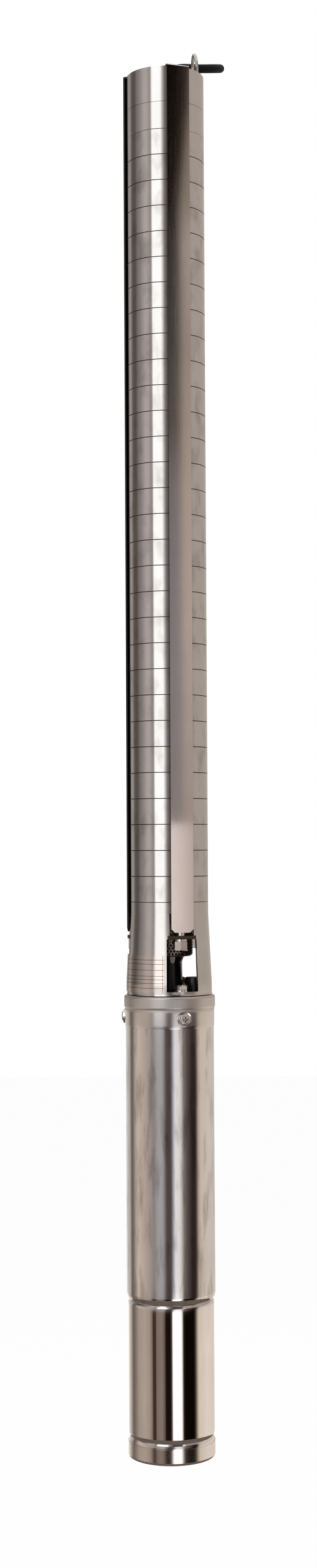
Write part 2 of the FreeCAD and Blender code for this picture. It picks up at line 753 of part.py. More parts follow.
def washer(z_low, seat_r):
    """Spring washer with its split facing the axis."""
    ring = tube(WASHER_R, STUD_R, z_low, z_low + WASHER_T, (0, -seat_r))
    return ring.cut(block(WASHER_SPLIT, seat_r - WASHER_R, seat_r, z_low, z_low + WASHER_T))


def bracket_wall_r(z):
    """Outer radius of the bracket's conical wall at a height."""
    top = STACK_END_Z - BRACKET_COLLAR_H
    share = (top - z) / (top - FLARE_END_Z)
    return STACK_R + min(1.0, max(0.0, share)) * (BRACKET_FOOT_R - STACK_R)


def suction_bracket():
    """Flared suction body: top plate, windows, strap lugs, foot on the motor flange, bearing spider."""
    top = STACK_END_Z
    cone_top = top - BRACKET_COLLAR_H
    skirt_low = FLANGE_Z
    skirt_in_r = PILOT_R + RUN_FIT
    past_r = SKIRT_R + CUT_PAST
    foot_low = PILOT_Z - CUT_PAST
    foot_high = FOOT_TOP_Z + CUT_PAST
    outline = [
        (EYE_R, top), (SPIGOT_OUT_R - SPIGOT_WALL, top), (SPIGOT_OUT_R - SPIGOT_WALL, top + SPIGOT_H),
        (SPIGOT_OUT_R, top + SPIGOT_H), (SPIGOT_OUT_R, top), (STACK_R - SEAM_CHAMFER, top),
        (STACK_R, top - SEAM_CHAMFER), (STACK_R, cone_top), (BRACKET_FOOT_R, FLARE_END_Z),
        (BRACKET_FOOT_R, skirt_low + SKIRT_H), (SKIRT_R, skirt_low), (skirt_in_r, skirt_low),
        (skirt_in_r, PILOT_Z), (FOOT_IN_R, PILOT_Z), (FOOT_IN_R, FOOT_TOP_Z),
        (BRACKET_FOOT_R - BRACKET_WALL, FOOT_TOP_Z), (BRACKET_FOOT_R - BRACKET_WALL, FLARE_END_Z),
        (STACK_R - BRACKET_WALL, cone_top),
        (STACK_R - BRACKET_WALL, top - BRACKET_WALL), (EYE_R, top - BRACKET_WALL),
    ]
    body = turning(outline)
    window_in_r = FOOT_IN_R + WINDOW_LEDGE
    window = wedge(window_in_r, past_r, FOOT_TOP_Z, LUG_BOTTOM_Z, -WINDOW_HALF_ANGLE, WINDOW_HALF_ANGLE)
    slot = block(SLOT_W, STRAP_STUD_SEAT_R - STUD_R, past_r, LUG_BOTTOM_Z, SLOT_TOP_Z)
    notch = tube(PLUG_RIM_R + PLUG_ROOM, 0, foot_low, foot_high, (0, -PLUG_SEAT_R))
    cuts = [turned(window, a) for a in STRAP_AZIMUTHS.values()]
    cuts += [turned(slot, a) for a in STRAP_AZIMUTHS.values()]
    cuts.append(turned(notch, PLUG_AZIMUTH))
    stud_hole = tube(STUD_R + HOLE_GAP, 0, foot_low, foot_high, (0, -MOTOR_STUD_SEAT_R))
    cuts += ring_of(stud_hole, MOTOR_STUDS, MOTOR_STUD_FIRST)
    nut_room = block(NUT_AF + 2 * NUT_GAP, MOTOR_STUD_SEAT_R, past_r, FOOT_TOP_Z, FLARE_END_Z + NUT_GAP)
    cuts += ring_of(nut_room, MOTOR_STUDS, MOTOR_STUD_FIRST)[1:]
    body = body.cut(cuts)
    lug = block(LUG_W, LUG_IN_R, bracket_wall_r(LUG_TOP_Z) - SHEET / 2, LUG_BOTTOM_Z, LUG_TOP_Z)
    lug = lug.cut(tube(STUD_R + HOLE_GAP, 0, LUG_BOTTOM_Z, LUG_TOP_Z, (0, -STRAP_STUD_SEAT_R)))
    lugs = [turned(lug, a) for a in STRAP_AZIMUTHS.values()]
    hub_top = top - BRACKET_WALL
    hub_low = hub_top - SPIDER_DROP
    hub = tube(BUSH_R + SPIDER_HUB_WALL, BUSH_R, hub_low, hub_top)
    arm = block(SPIDER_ARM_W, BUSH_R + SPIDER_HUB_WALL / 2, EYE_R + SPIDER_LAP, hub_low, hub_top)
    return body.multiFuse(lugs + [hub] + ring_of(arm, SPIDER_ARMS, ARM_FIRST))


def suction_bush():
    hub_top = STACK_END_Z - BRACKET_WALL
    return tube(BUSH_R, SHAFT_R + RUN_FIT, hub_top - SPIDER_DROP, hub_top)


def strainer_basket():
    """Cup of perforated sheet under the bracket's top plate, round the coupling."""
    top = STACK_END_Z - BRACKET_WALL
    low = BASKET_END_Z
    r = BASKET_R
    inner = r - BASKET_T
    k = BASKET_ROUND * (1 - sqrt(0.5))
    hole_r = COUPLING_COLLAR_R + BASKET_HOLE_GAP
    round_in = BASKET_ROUND - BASKET_T
    k_in = round_in * (1 - sqrt(0.5))
    outline = [
        (inner, top), (r, top), (r, low + BASKET_ROUND), (r - BASKET_ROUND, low, r - k, low + k),
        (hole_r, low), (hole_r, low + BASKET_T), (r - BASKET_ROUND, low + BASKET_T),
        (inner, low + BASKET_ROUND, inner - k_in, low + BASKET_T + k_in),
    ]
    tab_r = hole_r + BASKET_TAB_IN
    tab = block(BASKET_TAB_W, tab_r, tab_r + BASKET_T, low - BASKET_TAB_H, low + BASKET_T / 2)
    return turning(outline).fuse(turned(tab, BASKET_TAB_AZIMUTH))


def nameplate():
    """Blank thin plate wrapped round the bracket's lower left, over the left window."""
    low_r = BRACKET_FOOT_R + PLATE_SEAT
    top_r = bracket_wall_r(PLATE_TOP_Z) + PLATE_SEAT
    outline = [
        (top_r, PLATE_TOP_Z), (top_r + PLATE_T, PLATE_TOP_Z), (low_r + PLATE_T, FLARE_END_Z),
        (low_r + PLATE_T, PLATE_BOTTOM_Z), (low_r, PLATE_BOTTOM_Z), (low_r, FLARE_END_Z),
    ]
    span = wedge(
        FOOT_IN_R, FLANGE_R + CUT_PAST, PLATE_BOTTOM_Z - CUT_PAST, PLATE_TOP_Z + CUT_PAST, PLATE_FROM, PLATE_TO)
    return turning(outline).common(span)


def coupling():
    """Sleeve that joins the pump shaft to the motor shaft."""
    low = PILOT_Z + COUPLING_LIFT
    top = STACK_END_Z - COUPLING_DROP
    collar_low = top - COUPLING_COLLAR_H
    outline = [
        (SHAFT_R, top), (COUPLING_COLLAR_R, top), (COUPLING_COLLAR_R, collar_low),
        (COUPLING_R, collar_low - COUPLING_TAPER_H), (COUPLING_FOOT_R, low), (MOTOR_SHAFT_R, low),
        (MOTOR_SHAFT_R, MOTOR_SHAFT_TOP_Z), (SHAFT_R, MOTOR_SHAFT_TOP_Z),
    ]
    return turning(outline)


def pump_shaft():
    return tube(SHAFT_R, 0, PUMP_SHAFT_END_Z, STACK_TOP_Z - SHEET)


def motor_shaft():
    """Stepped shaft: output end, bearing journals, rotor seat and thrust end."""
    low = thrust_heights()[0]
    outline = [
        (0, MOTOR_SHAFT_TOP_Z), (MOTOR_SHAFT_R, MOTOR_SHAFT_TOP_Z), (MOTOR_SHAFT_R, PILOT_Z - SEAL_H),
        (ROTOR_SHAFT_R, PILOT_Z - SEAL_H), (ROTOR_SHAFT_R, low), (0, low),
    ]
    return turning(outline)


def thrust_heights():
    """Undersides of the thrust disc, of its pads and of the plate that carries them."""
    disc_low = CARRIER_TOP_Z - MOTOR_BUSH_H - THRUST_DISC_DROP - THRUST_DISC_T
    pads_low = disc_low - PAD_T
    return disc_low, pads_low, pads_low - THRUST_SEAT_T


def thrust_disc():
    disc_low = thrust_heights()[0]
    return tube(THRUST_DISC_R, ROTOR_SHAFT_R, disc_low, disc_low + THRUST_DISC_T)


def thrust_pads():
    """Tilting pads under the disc."""
    disc_low, pads_low = thrust_heights()[:2]
    span = 360.0 / THRUST_PADS - PAD_GAP_ANGLE
    pad = wedge(PAD_IN_R, PAD_OUT_R, pads_low, disc_low, -span / 2, span / 2)
    return Part.makeCompound(ring_of(pad, THRUST_PADS))


def thrust_seat():
    """Plate that carries the pads, held in the shell's lower part."""
    pads_low, seat_low = thrust_heights()[1:]
    return tube(LOWER_IN_R, PAD_IN_R, seat_low, pads_low)


def cap_screw_holes(from_r):
    """Holes of the cap's screws, from a radius inwards."""
    start = FreeCAD.Vector(0, -from_r, CAP_SCREW_Z)
    hole = Part.makeCylinder(CAP_SCREW_SHANK_R, CAP_SCREW_L, start, FreeCAD.Vector(0, 1, 0))
    return ring_of(hole, CAP_SCREWS, CAP_SCREW_AZIMUTH)


def upper_end_bell():
    """Motor's flange casting: pilot, stud holes, lead socket, seal pocket and bearing seat."""
    low = FLANGE_Z - END_BELL_H
    seal_z = PILOT_Z - SEAL_H
    bush_r = ROTOR_SHAFT_R + MOTOR_BUSH_WALL
    rim_r = FLANGE_R - CAP_SHEET - BELL_RIM_IN
    rim_low = FLANGE_Z - CAP_RIM_H
    outline = [
        (SEAL_R, PILOT_Z), (PILOT_R, PILOT_Z), (PILOT_R, FLANGE_Z - CAP_SHEET),
        (rim_r, FLANGE_Z - CAP_SHEET), (rim_r, rim_low), (SHELL_IN_R, rim_low),
        (SHELL_IN_R, low + BELL_CONE_H), (bush_r + BELL_BOSS_WALL, low), (bush_r, low),
        (bush_r, seal_z), (SEAL_R, seal_z),
    ]
    body = turning(outline)
    socket = tube(PLUG_R, 0, PILOT_Z - PLUG_SINK, PILOT_Z + CUT_PAST, (0, -PLUG_SEAT_R))
    stud_hole = tube(STUD_R, 0, PILOT_Z - STUD_SINK, PILOT_Z + CUT_PAST, (0, -MOTOR_STUD_SEAT_R))
    cuts = [turned(socket, PLUG_AZIMUTH)] + ring_of(stud_hole, MOTOR_STUDS, MOTOR_STUD_FIRST)
    return body.cut(cuts + cap_screw_holes(SHELL_R))


def motor_cap():
    """Pressed cap over the flange's rim and the shell's top, held by three screws."""
    low = FLANGE_Z - CAP_H
    rim_low = FLANGE_Z - CAP_RIM_H
    rim_in_r = FLANGE_R - CAP_SHEET - BELL_RIM_IN
    k = CAP_RIM_ROUND * (1 - sqrt(0.5))
    hole_r = PILOT_R + SLIP
    outline = [
        (hole_r, FLANGE_Z), (FLANGE_R - CAP_RIM_ROUND, FLANGE_Z),
        (FLANGE_R, FLANGE_Z - CAP_RIM_ROUND, FLANGE_R - k, FLANGE_Z - k),
        (FLANGE_R, rim_low),
        (CAP_R, rim_low - CAP_STEP_H) + round_middle(FLANGE_R, rim_low, CAP_R, rim_low - CAP_STEP_H),
        (CAP_R, low + CAP_EDGE_H),
        (CAP_R - CAP_EDGE, low) + round_middle(CAP_R, low + CAP_EDGE_H, CAP_R - CAP_EDGE, low),
        (SHELL_R, low), (SHELL_R, rim_low), (rim_in_r, rim_low), (rim_in_r, FLANGE_Z - CAP_SHEET),
        (hole_r, FLANGE_Z - CAP_SHEET),
    ]
    return turning(outline).cut(cap_screw_holes(CAP_R + CUT_PAST))


def base_groove_outline(inset):
    """Shell's lower groove and the lip below it, inset from its outside."""
    wall_r = LOWER_R - inset
    return groove_outline(
        wall_r, BASE_GROOVE_TOP_Z, BASE_GROOVE_R - inset, BASE_GROOVE_MID_Z, wall_r, SHELL_END_Z)


def shell_outline(inset):
    """Shell's profile from its top to its lip, inset from its outside."""
    wall_r = SHELL_R - inset
    groove = groove_outline(
        wall_r, GROOVE_TOP_Z, GROOVE_R - inset, GROOVE_MID_Z, LOWER_R - inset, GROOVE_END_Z)
    return [(wall_r, SHELL_TOP_Z)] + groove + base_groove_outline(inset)


def motor_shell():
    """Polished tube with a rolled groove above its narrower end and a lip over the base."""
    walls = shell_outline(0.0) + backwards(shell_outline(SHELL_T))
    return turning(walls).cut(cap_screw_holes(CAP_R + CUT_PAST))


def cap_screw():
    """Pan-head screw at the front with a cross recess, through its cup washer into the end bell."""
    seat = CAP_R + CUP_H
    head = Part.makeCylinder(CAP_SCREW_HEAD_R, CAP_SCREW_HEAD_H)
    rim = [e for e in head.Edges if abs(e.BoundBox.ZMin - CAP_SCREW_HEAD_H) < 1e-6]
    head = head.makeFillet(CAP_SCREW_ROUND, rim)
    shank = Part.makeCylinder(
        CAP_SCREW_SHANK_R, seat - SHELL_R + CAP_SCREW_L, FreeCAD.Vector(), FreeCAD.Vector(0, 0, -1))
    corner = FreeCAD.Vector(-CROSS_L / 2, -CROSS_W / 2, CAP_SCREW_HEAD_H - CROSS_DEPTH)
    slot = Part.makeBox(CROSS_L, CROSS_W, CROSS_DEPTH, corner)
    cross = turned(slot, 90)
    screw = head.fuse(shank).cut([slot, cross])
    screw.rotate(FreeCAD.Vector(), FreeCAD.Vector(1, 0, 0), 90)
    return moved(screw, y=-seat, z=CAP_SCREW_Z)


def cap_screw_cup():
    """Cup washer under the cap screw's head, following the cap's wall."""
    cup = turning([
        (CAP_SCREW_SHANK_R, CUP_H), (CAP_SCREW_HEAD_R, CUP_H), (CUP_R, CUP_LIP_H), (CUP_R, -CUP_SINK),
        (CAP_SCREW_SHANK_R, -CUP_SINK),
    ])
    cup.rotate(FreeCAD.Vector(), FreeCAD.Vector(1, 0, 0), 90)
    cup = moved(cup, y=-CAP_R, z=CAP_SCREW_Z)
    return cup.cut(tube(CAP_R, 0, CAP_SCREW_Z - 2 * CUP_R, CAP_SCREW_Z + 2 * CUP_R))


def motor_stud():
    top = FOOT_TOP_Z + WASHER_T + MOTOR_NUT_H - STUD_SHORT
    return tube(STUD_R, 0, PILOT_Z - STUD_SINK, top, (0, -MOTOR_STUD_SEAT_R))


def seal():
    """Shaft seal pressed in the flange's pocket."""
    return tube(SEAL_R, MOTOR_SHAFT_R + RUN_FIT, PILOT_Z - SEAL_H, PILOT_Z)


def sand_slinger():
    """Rubber cone on the motor shaft that throws sand off the seal."""
    low = PILOT_Z + SLINGER_GAP
    top = PILOT_Z + COUPLING_LIFT
    return turning([
        (MOTOR_SHAFT_R, low), (SEAL_R, low), (SEAL_R - SLINGER_TAPER, low + SLINGER_EDGE_H),
        (COUPLING_FOOT_R - SLINGER_TAPER, top), (MOTOR_SHAFT_R, top),
    ])


def motor_bush(top):
    return tube(ROTOR_SHAFT_R + MOTOR_BUSH_WALL, ROTOR_SHAFT_R + RUN_FIT, top - MOTOR_BUSH_H, top)


def lower_carrier():
    """Casting that rests on the shell's groove, with the lower bearing's seat."""
    bush_r = ROTOR_SHAFT_R + MOTOR_BUSH_WALL
    boss_r = bush_r + CARRIER_BOSS_WALL
    rim_top = GROOVE_TOP_Z + CARRIER_RIM_H
    foot_r = GROOVE_R - SHELL_T - SLIP
    return turning([
        (bush_r, CARRIER_TOP_Z), (boss_r, CARRIER_TOP_Z), (boss_r + CARRIER_RIM_H, rim_top),
        (SHELL_IN_R, rim_top), (SHELL_IN_R, GROOVE_TOP_Z), (foot_r, GROOVE_TOP_Z), (foot_r, GROOVE_MID_Z),
        (boss_r, GROOVE_MID_Z), (bush_r, GROOVE_MID_Z),
    ])


def stator_core():
    """Laminated ring with its winding slots."""
    ring = tube(SHELL_IN_R, STATOR_IN_R, STATOR_END_Z, STATOR_TOP_Z)
    slot = block(SLOT_WIRE_W, SLOT_IN_R, SLOT_OUT_R, STATOR_END_Z, STATOR_TOP_Z)
    return ring.cut(ring_of(slot, STATOR_SLOTS))


def stator_windings():
    """Bars in the slots, joined by the end turns above and below."""
    turn_out_r = SLOT_OUT_R + END_TURN_LAP
    turn_in_r = SLOT_IN_R + END_TURN_IN
    bar = block(SLOT_WIRE_W, SLOT_IN_R, SLOT_OUT_R, STATOR_END_Z, STATOR_TOP_Z)
    upper = tube(turn_out_r, turn_in_r, STATOR_TOP_Z, STATOR_TOP_Z + END_TURN_H)
    lower = tube(turn_out_r, turn_in_r, STATOR_END_Z - END_TURN_H, STATOR_END_Z)
    return upper.multiFuse([lower] + ring_of(bar, STATOR_SLOTS))


def rotor_core():
    return tube(STATOR_IN_R - AIR_GAP, ROTOR_SHAFT_R, STATOR_END_Z, STATOR_TOP_Z)


def diaphragm():
    """Dished rubber membrane that lets the motor's filling expand."""
    rim_r = LOWER_IN_R
    dish_r = rim_r - DIAPHRAGM_DISH
    low = BASE_RIM_Z
    high = BASE_RIM_Z + DIAPHRAGM_DISH
    return turning([
        (0, high), (dish_r, high), (dish_r + DIAPHRAGM_DISH / 2, low + DIAPHRAGM_T),
        (rim_r, low + DIAPHRAGM_T), (rim_r, low), (dish_r + DIAPHRAGM_DISH / 2 - DIAPHRAGM_T, low),
        (dish_r - DIAPHRAGM_T, high - DIAPHRAGM_T), (0, high - DIAPHRAGM_T),
    ])


def base_cover():
    """Cup that closes the motor's lower end, gripped by the shell's second groove."""
    k = BASE_ROUND * (1 - sqrt(0.5))
    in_r = BASE_GROOVE_R - SHELL_T - BASE_WALL
    foot_r = BASE_R - BASE_ROUND - BASE_FOOT_W
    return turning([(in_r, BASE_RIM_Z), (LOWER_IN_R, BASE_RIM_Z)] + base_groove_outline(SHELL_T) + [
        (BASE_R, SHELL_END_Z),
        (BASE_R, BOTTOM_Z + BASE_ROUND), (BASE_R - BASE_ROUND, BOTTOM_Z, BASE_R - k, BOTTOM_Z + k),
        (foot_r, BOTTOM_Z), (foot_r - BASE_RECESS, BOTTOM_Z + BASE_RECESS), (0, BOTTOM_Z + BASE_RECESS),
        (0, BOTTOM_Z + BASE_RECESS + BASE_WALL), (in_r, BOTTOM_Z + BASE_RECESS + BASE_WALL),
    ])


def ring_wire(gap=0.0):
    """Ring of wire upright over the head's web, with room round the wire for its lug."""
    ring = Part.makeTorus(RING_R, RING_WIRE_R + gap)
    ring.rotate(FreeCAD.Vector(), FreeCAD.Vector(0, 1, 0), 90 - RING_LEAN)
    ring.rotate(FreeCAD.Vector(), FreeCAD.Vector(0, 0, 1), RING_YAW)
    centre = at(RING_AZIMUTH, RING_SEAT_R, RING_Z)
    return moved(ring, centre.x, centre.y, centre.z)


def lead_plug():
    """Rubber plug in the flange's socket, with a rimmed top and the lead's neck at its side."""
    x, y, _ = at(PLUG_AZIMUTH, PLUG_SEAT_R)
    top = PILOT_Z + PLUG_H
    body = tube(PLUG_R, 0, PILOT_Z - PLUG_SINK, top - PLUG_RIM_H, (x, y))
    inset = PLUG_ROUND * (1 - sqrt(0.5))
    rim = moved(turning([
        (0, top - PLUG_RIM_H), (PLUG_RIM_R, top - PLUG_RIM_H), (PLUG_RIM_R, top - PLUG_ROUND),
        (PLUG_RIM_R - PLUG_ROUND, top, PLUG_RIM_R - inset, top - inset), (0, top),
    ]), x, y)
    route = lead_window_points()
    start = FreeCAD.Vector(*route[0])
    direction = FreeCAD.Vector(*route[1]).sub(start).normalize()
    neck_start = start.sub(FreeCAD.Vector(direction).multiply(PLUG_NECK_L))
    neck = Part.makeCylinder(LEAD_R, PLUG_NECK_L, neck_start, direction)
    return body.multiFuse([rim, neck])


def cable_guard():
    """Channel that holds the lead against the stack, between two straps."""
    in_half = GUARD_IN_W / 2
    near = sqrt((STACK_R + GUARD_SEAT) ** 2 - in_half ** 2) - CUT_PAST
    inner = STACK_R + GUARD_SEAT
    back = LEAD_SEAT_R + LEAD_R + GUARD_PLAY
    channel = block(GUARD_IN_W + 2 * GUARD_T, inner, back + GUARD_T, GUARD_BOTTOM_Z, GUARD_TOP_Z)
    channel = channel.cut(block(GUARD_IN_W, near, back, GUARD_BOTTOM_Z, GUARD_TOP_Z))
    flange = block(GUARD_IN_W + 2 * GUARD_FLANGE, inner, inner + GUARD_T, GUARD_BOTTOM_Z, GUARD_TOP_Z)
    flange = flange.cut(block(GUARD_IN_W, near, back, GUARD_BOTTOM_Z, GUARD_TOP_Z))
    return turned(channel.fuse(flange).removeSplitter(), GUARD_AZIMUTH)


def guard_screws():
    """Small screws through the guard's flanges, near its two ends."""
    face_r = STACK_R + GUARD_SEAT + GUARD_T
    side = GUARD_IN_W / 2 + GUARD_FLANGE / 2 + GUARD_T / 2
    screws = []
    for z in (GUARD_TOP_Z - GUARD_SCREW_IN, GUARD_BOTTOM_Z + GUARD_SCREW_IN):
        for x in (-side, side):
            seat = FreeCAD.Vector(x, -face_r, z)
            head = Part.makeCylinder(GUARD_SCREW_R, GUARD_SCREW_H, seat, FreeCAD.Vector(0, -1, 0))
            screws.append(turned(head, GUARD_AZIMUTH))
    return Part.makeCompound(screws)


def lead_cores():
    """Stripped cores at the lead's bare end, each with its bare tip."""
    x, y, z = LEAD_TAIL_PATH[-1]
    cores = []
    for i in range(CORES):
        a = radians(45 + 360.0 * i / CORES)
        cx = x + CORE_SPREAD_R * cos(a)
        cy = y + CORE_SPREAD_R * sin(a)
        sleeve = tube(CORE_R, 0, z - CORE_L, z, (cx, cy))
        tip = tube(CORE_BARE_R, 0, z - CORE_L - CORE_BARE_L, z - CORE_L, (cx, cy))
        cores.append(sleeve.fuse(tip))
    return Part.makeCompound(cores)


def at_straps(shape):
    return Part.makeCompound([turned(shape, a) for a in STRAP_AZIMUTHS.values()])


def at_studs(shape):
    return Part.makeCompound(ring_of(shape, MOTOR_STUDS, MOTOR_STUD_FIRST))


def at_cap_screws(shape):
    return Part.makeCompound(ring_of(shape, CAP_SCREWS, CAP_SCREW_AZIMUTH))


def lead_riser():
    """Lead under its guard, from the window to the top."""
    x, y, _ = at(GUARD_AZIMUTH, LEAD_SEAT_R)
    return tube(LEAD_R, 0, FLANGE_Z + LEAD_RISER_UP, -LEAD_EXIT_DROP, (x, y))


def stage_nodes():
    """Groups of bowls, and the stage pieces that all stages share."""
    nodes = {}
    bowl = bowl_solid()
    per_group = -(-BOWL_COUNT // BOWL_GROUPS)
    for group in range(BOWL_GROUPS):
        first = group * per_group
        last = min(BOWL_COUNT, first + per_group)
        nodes["stage_bowls_%d" % (group + 1)] = Part.makeCompound(stacked(bowl, first, last))
    nodes["neck_rings"] = Part.makeCompound(stacked(neck_ring_solid(), 0, BOWL_COUNT + 1))
    nodes["bearing_bushes"] = Part.makeCompound(stacked(bush_solid(), 0, BOWL_COUNT))
    nodes["impellers"] = Part.makeCompound(stacked(impeller_solid(), 0, BOWL_COUNT))
    return nodes


def all_nodes():
    nodes = stage_nodes()
    nodes["discharge_head"] = discharge_head()
    nodes["valve_guide"] = valve_guide()
    nodes["valve_seat"] = valve_seat()
    nodes["valve_cone"] = valve_cone()
    nodes["valve_spring"] = valve_spring()
    nodes["rope_ring"] = ring_wire()
    nodes["pump_shaft"] = pump_shaft()
    for side, azimuth in STRAP_AZIMUTHS.items():
        nodes["strap_" + side] = turned(strap(), azimuth)
    strap_nut = nut(STRAP_NUT_END_Z, STRAP_NUT_TOP_Z, STRAP_STUD_SEAT_R, STRAP_NUT_TURN)
    nodes["strap_studs"] = at_straps(strap_stud())
    nodes["strap_washers"] = at_straps(washer(STRAP_NUT_TOP_Z, STRAP_STUD_SEAT_R))
    nodes["strap_nuts"] = at_straps(strap_nut)
    nodes["suction_bracket"] = suction_bracket()
    nodes["suction_bush"] = suction_bush()
    nodes["strainer_basket"] = strainer_basket()
    nodes["nameplate"] = nameplate()
    nodes["coupling"] = coupling()
    nodes["cable_guard"] = cable_guard()
    nodes["guard_screws"] = guard_screws()
    nodes["upper_end_bell"] = upper_end_bell()
    nodes["motor_cap"] = motor_cap()
    nodes["cap_screws"] = at_cap_screws(cap_screw())
    nodes["cap_screw_cups"] = at_cap_screws(cap_screw_cup())
    nodes["motor_studs"] = at_studs(motor_stud())
    nodes["motor_washers"] = at_studs(washer(FOOT_TOP_Z, MOTOR_STUD_SEAT_R))
    nut_z = FOOT_TOP_Z + WASHER_T
    nodes["motor_nuts"] = at_studs(nut(nut_z, nut_z + MOTOR_NUT_H, MOTOR_STUD_SEAT_R, MOTOR_NUT_TURN))
    nodes["shaft_seal"] = seal()
    nodes["sand_slinger"] = sand_slinger()
    nodes["upper_motor_bush"] = motor_bush(PILOT_Z - SEAL_H)
    nodes["lower_motor_bush"] = motor_bush(CARRIER_TOP_Z)
    nodes["lower_bearing_carrier"] = lower_carrier()
    nodes["motor_shaft"] = motor_shaft()
    nodes["motor_shell"] = motor_shell()
    nodes["stator_core"] = stator_core()
    nodes["stator_windings"] = stator_windings()
    nodes["rotor_core"] = rotor_core()
    nodes["thrust_disc"] = thrust_disc()
    nodes["thrust_pads"] = thrust_pads()
    nodes["thrust_seat"] = thrust_seat()
    nodes["diaphragm"] = diaphragm()
    nodes["base_cover"] = base_cover()
    nodes["lead_plug"] = lead_plug()
    nodes["lead_lower"] = cord_tube(lead_window_points(), LEAD_R, "lead_lower")
    nodes["lead_riser"] = lead_riser()
    nodes["lead_tail"] = cord_tube(lead_tail_points(), LEAD_R, "lead_tail")
    nodes["lead_cores"] = lead_cores()
    return nodes


def main():
    os.makedirs("parts", exist_ok=True)
    nodes = all_nodes()
    for name, shape in nodes.items():
        shape.exportStep("parts/" + name + ".step")
    print(len(nodes), "nodes written")


main()
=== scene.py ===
import bpy
from math import cos, pi, radians, sin, sqrt, tau
from mathutils import Matrix, Vector


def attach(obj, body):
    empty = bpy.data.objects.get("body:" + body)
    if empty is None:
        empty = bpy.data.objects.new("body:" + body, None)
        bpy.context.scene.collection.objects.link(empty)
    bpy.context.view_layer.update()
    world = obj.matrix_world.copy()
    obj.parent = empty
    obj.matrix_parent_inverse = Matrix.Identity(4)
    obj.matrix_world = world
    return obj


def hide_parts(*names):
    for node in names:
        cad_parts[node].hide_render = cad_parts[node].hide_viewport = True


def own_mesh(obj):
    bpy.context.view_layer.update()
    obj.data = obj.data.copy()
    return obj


# Submersible well pump, in metres. Z points up, and the origin is the centre of the discharge mouth.
# An azimuth is 0 at the front (-Y) and grows towards +X.

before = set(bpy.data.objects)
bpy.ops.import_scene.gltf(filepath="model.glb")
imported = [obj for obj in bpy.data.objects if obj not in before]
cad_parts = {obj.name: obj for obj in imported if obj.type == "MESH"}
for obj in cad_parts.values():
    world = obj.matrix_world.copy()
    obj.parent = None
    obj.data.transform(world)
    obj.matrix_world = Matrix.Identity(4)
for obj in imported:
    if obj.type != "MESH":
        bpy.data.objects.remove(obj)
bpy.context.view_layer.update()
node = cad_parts

MM = 0.001

# Camera, fitted to the photograph's 518 x 2560 pixels
PHOTO_H = 2560
FOCAL_PX = 3529.7
SENSOR = 36.0
CAMERA_AT = (0.0, -2.2796, -0.8176)
CAMERA_PITCH = radians(1.682)
CAMERA_ROLL = -0.005286
CENTRE_PX = -16.24

# Heights and radii in millimetres, as in the solids
STACK_TOP = -66.0
BOWL_PITCH = 26.95
FLANGE = -972.0
BOTTOM = -1452.0
SHELL_R = 46.4
LEAD_R = 4.6

# Strainer of perforated sheet: its round holes lie in staggered rows
BASKET_R = 24.6
BASKET_T = 0.8
BASKET_TOP = -876.5
BASKET_END = -931.6
BASKET_ROUND = 3.5
BASKET_HOLE_R = 17.0
HOLE_R = 1.2
HOLES_ROUND = 44
HOLE_SIDES = 12
LAST_ROW_PITCHES = 0.8
# Steps in a column of holes, and in a millimetre, within which points of the sheet are one
WELD_STEPS = 1000
RIM_LAP = 0.03
RIM_STEPS = 12
RIM_SIDES = 132
TAB_AZIMUTH = 11.0
TAB_R = 17.3
TAB_W = 6.0
TAB_END_W = 4.4
TAB_H = 7.0
TAB_END_SIDES = 16

# Route of the lead, in millimetres: through the window, then its free tail
LEAD_WINDOW = [
    (24.6, -0.5, -961.6), (23.9, 8.0, -961.6), (22.6, 18.0, -961.6), (21.4, 29.0, -961.5),
    (20.6, 40.0, -961.6), (16.5, 53.0, -962.6), (5.5, 61.0, -957.5), (-6.0, 60.0, -945.0),
    (-13.0, 53.0, -929.5), (-15.0, 46.0, -913.0), (-15.041, 43.683, -897.0), (-15.041, 43.683, -882.0),
]
LEAD_TAIL = [
    (-15.041, 43.683, -20.0), (-15.041, 43.683, 0.4), (-5.1, 43.7, 17.6), (11.5, 43.9, 28.6),
    (38.3, 46.0, 28.0), (52.7, 53.8, 31.1), (61.0, 67.4, 35.9), (61.0, 83.0, 41.5),
    (52.7, 96.6, 46.3), (38.3, 104.4, 49.1), (16.5, 105.0, 48.0), (1.4, 102.5, 39.1),
    (-8.5, 100.0, 22.0), (-9.5, 97.0, -1.0), (-10.5, 92.5, -29.0), (-12.5, 86.0, -70.0),
    (-14.0, 78.0, -130.0), (-16.5, 71.0, -215.0), (-16.0, 67.5, -325.0), (-13.5, 66.0, -440.0),
    (-15.0, 67.0, -545.0), (-15.0, 67.0, -650.0),
]


def at(azimuth, radius, z=0.0):
    """Point in metres at an azimuth in degrees and a radius in millimetres from the pump's axis."""
    a = radians(azimuth)
    return Vector((radius * sin(a), -radius * cos(a), z)) * MM


def new_object(name, data):
    made = bpy.data.objects.new(name, data)
    bpy.context.scene.collection.objects.link(made)
    return made


def make_camera():
    data = bpy.data.cameras.new("camera")
    data.sensor_fit = "VERTICAL"
    data.sensor_width = SENSOR
    data.sensor_height = SENSOR
    data.lens = FOCAL_PX / PHOTO_H * SENSOR
    data.shift_x = CENTRE_PX / PHOTO_H
    data.clip_end = 100.0
    camera = new_object("camera", data)
    tilt = Matrix.Rotation(pi / 2 + CAMERA_PITCH, 4, "X")
    camera.matrix_world = Matrix.Translation(CAMERA_AT) @ tilt @ Matrix.Rotation(CAMERA_ROLL, 4, "Z")
    bpy.context.scene.camera = camera


# Materials. A noise mostly lies between two values, and what it steers is stretched between them
NOISE_LOW = 0.3
NOISE_HIGH = 0.7
# Sockets of a Mix node that mixes colours: by number, since its other sockets have the same names
SHARE, COLOR_A, COLOR_B, COLOR_OUT = 0, 6, 7, 2
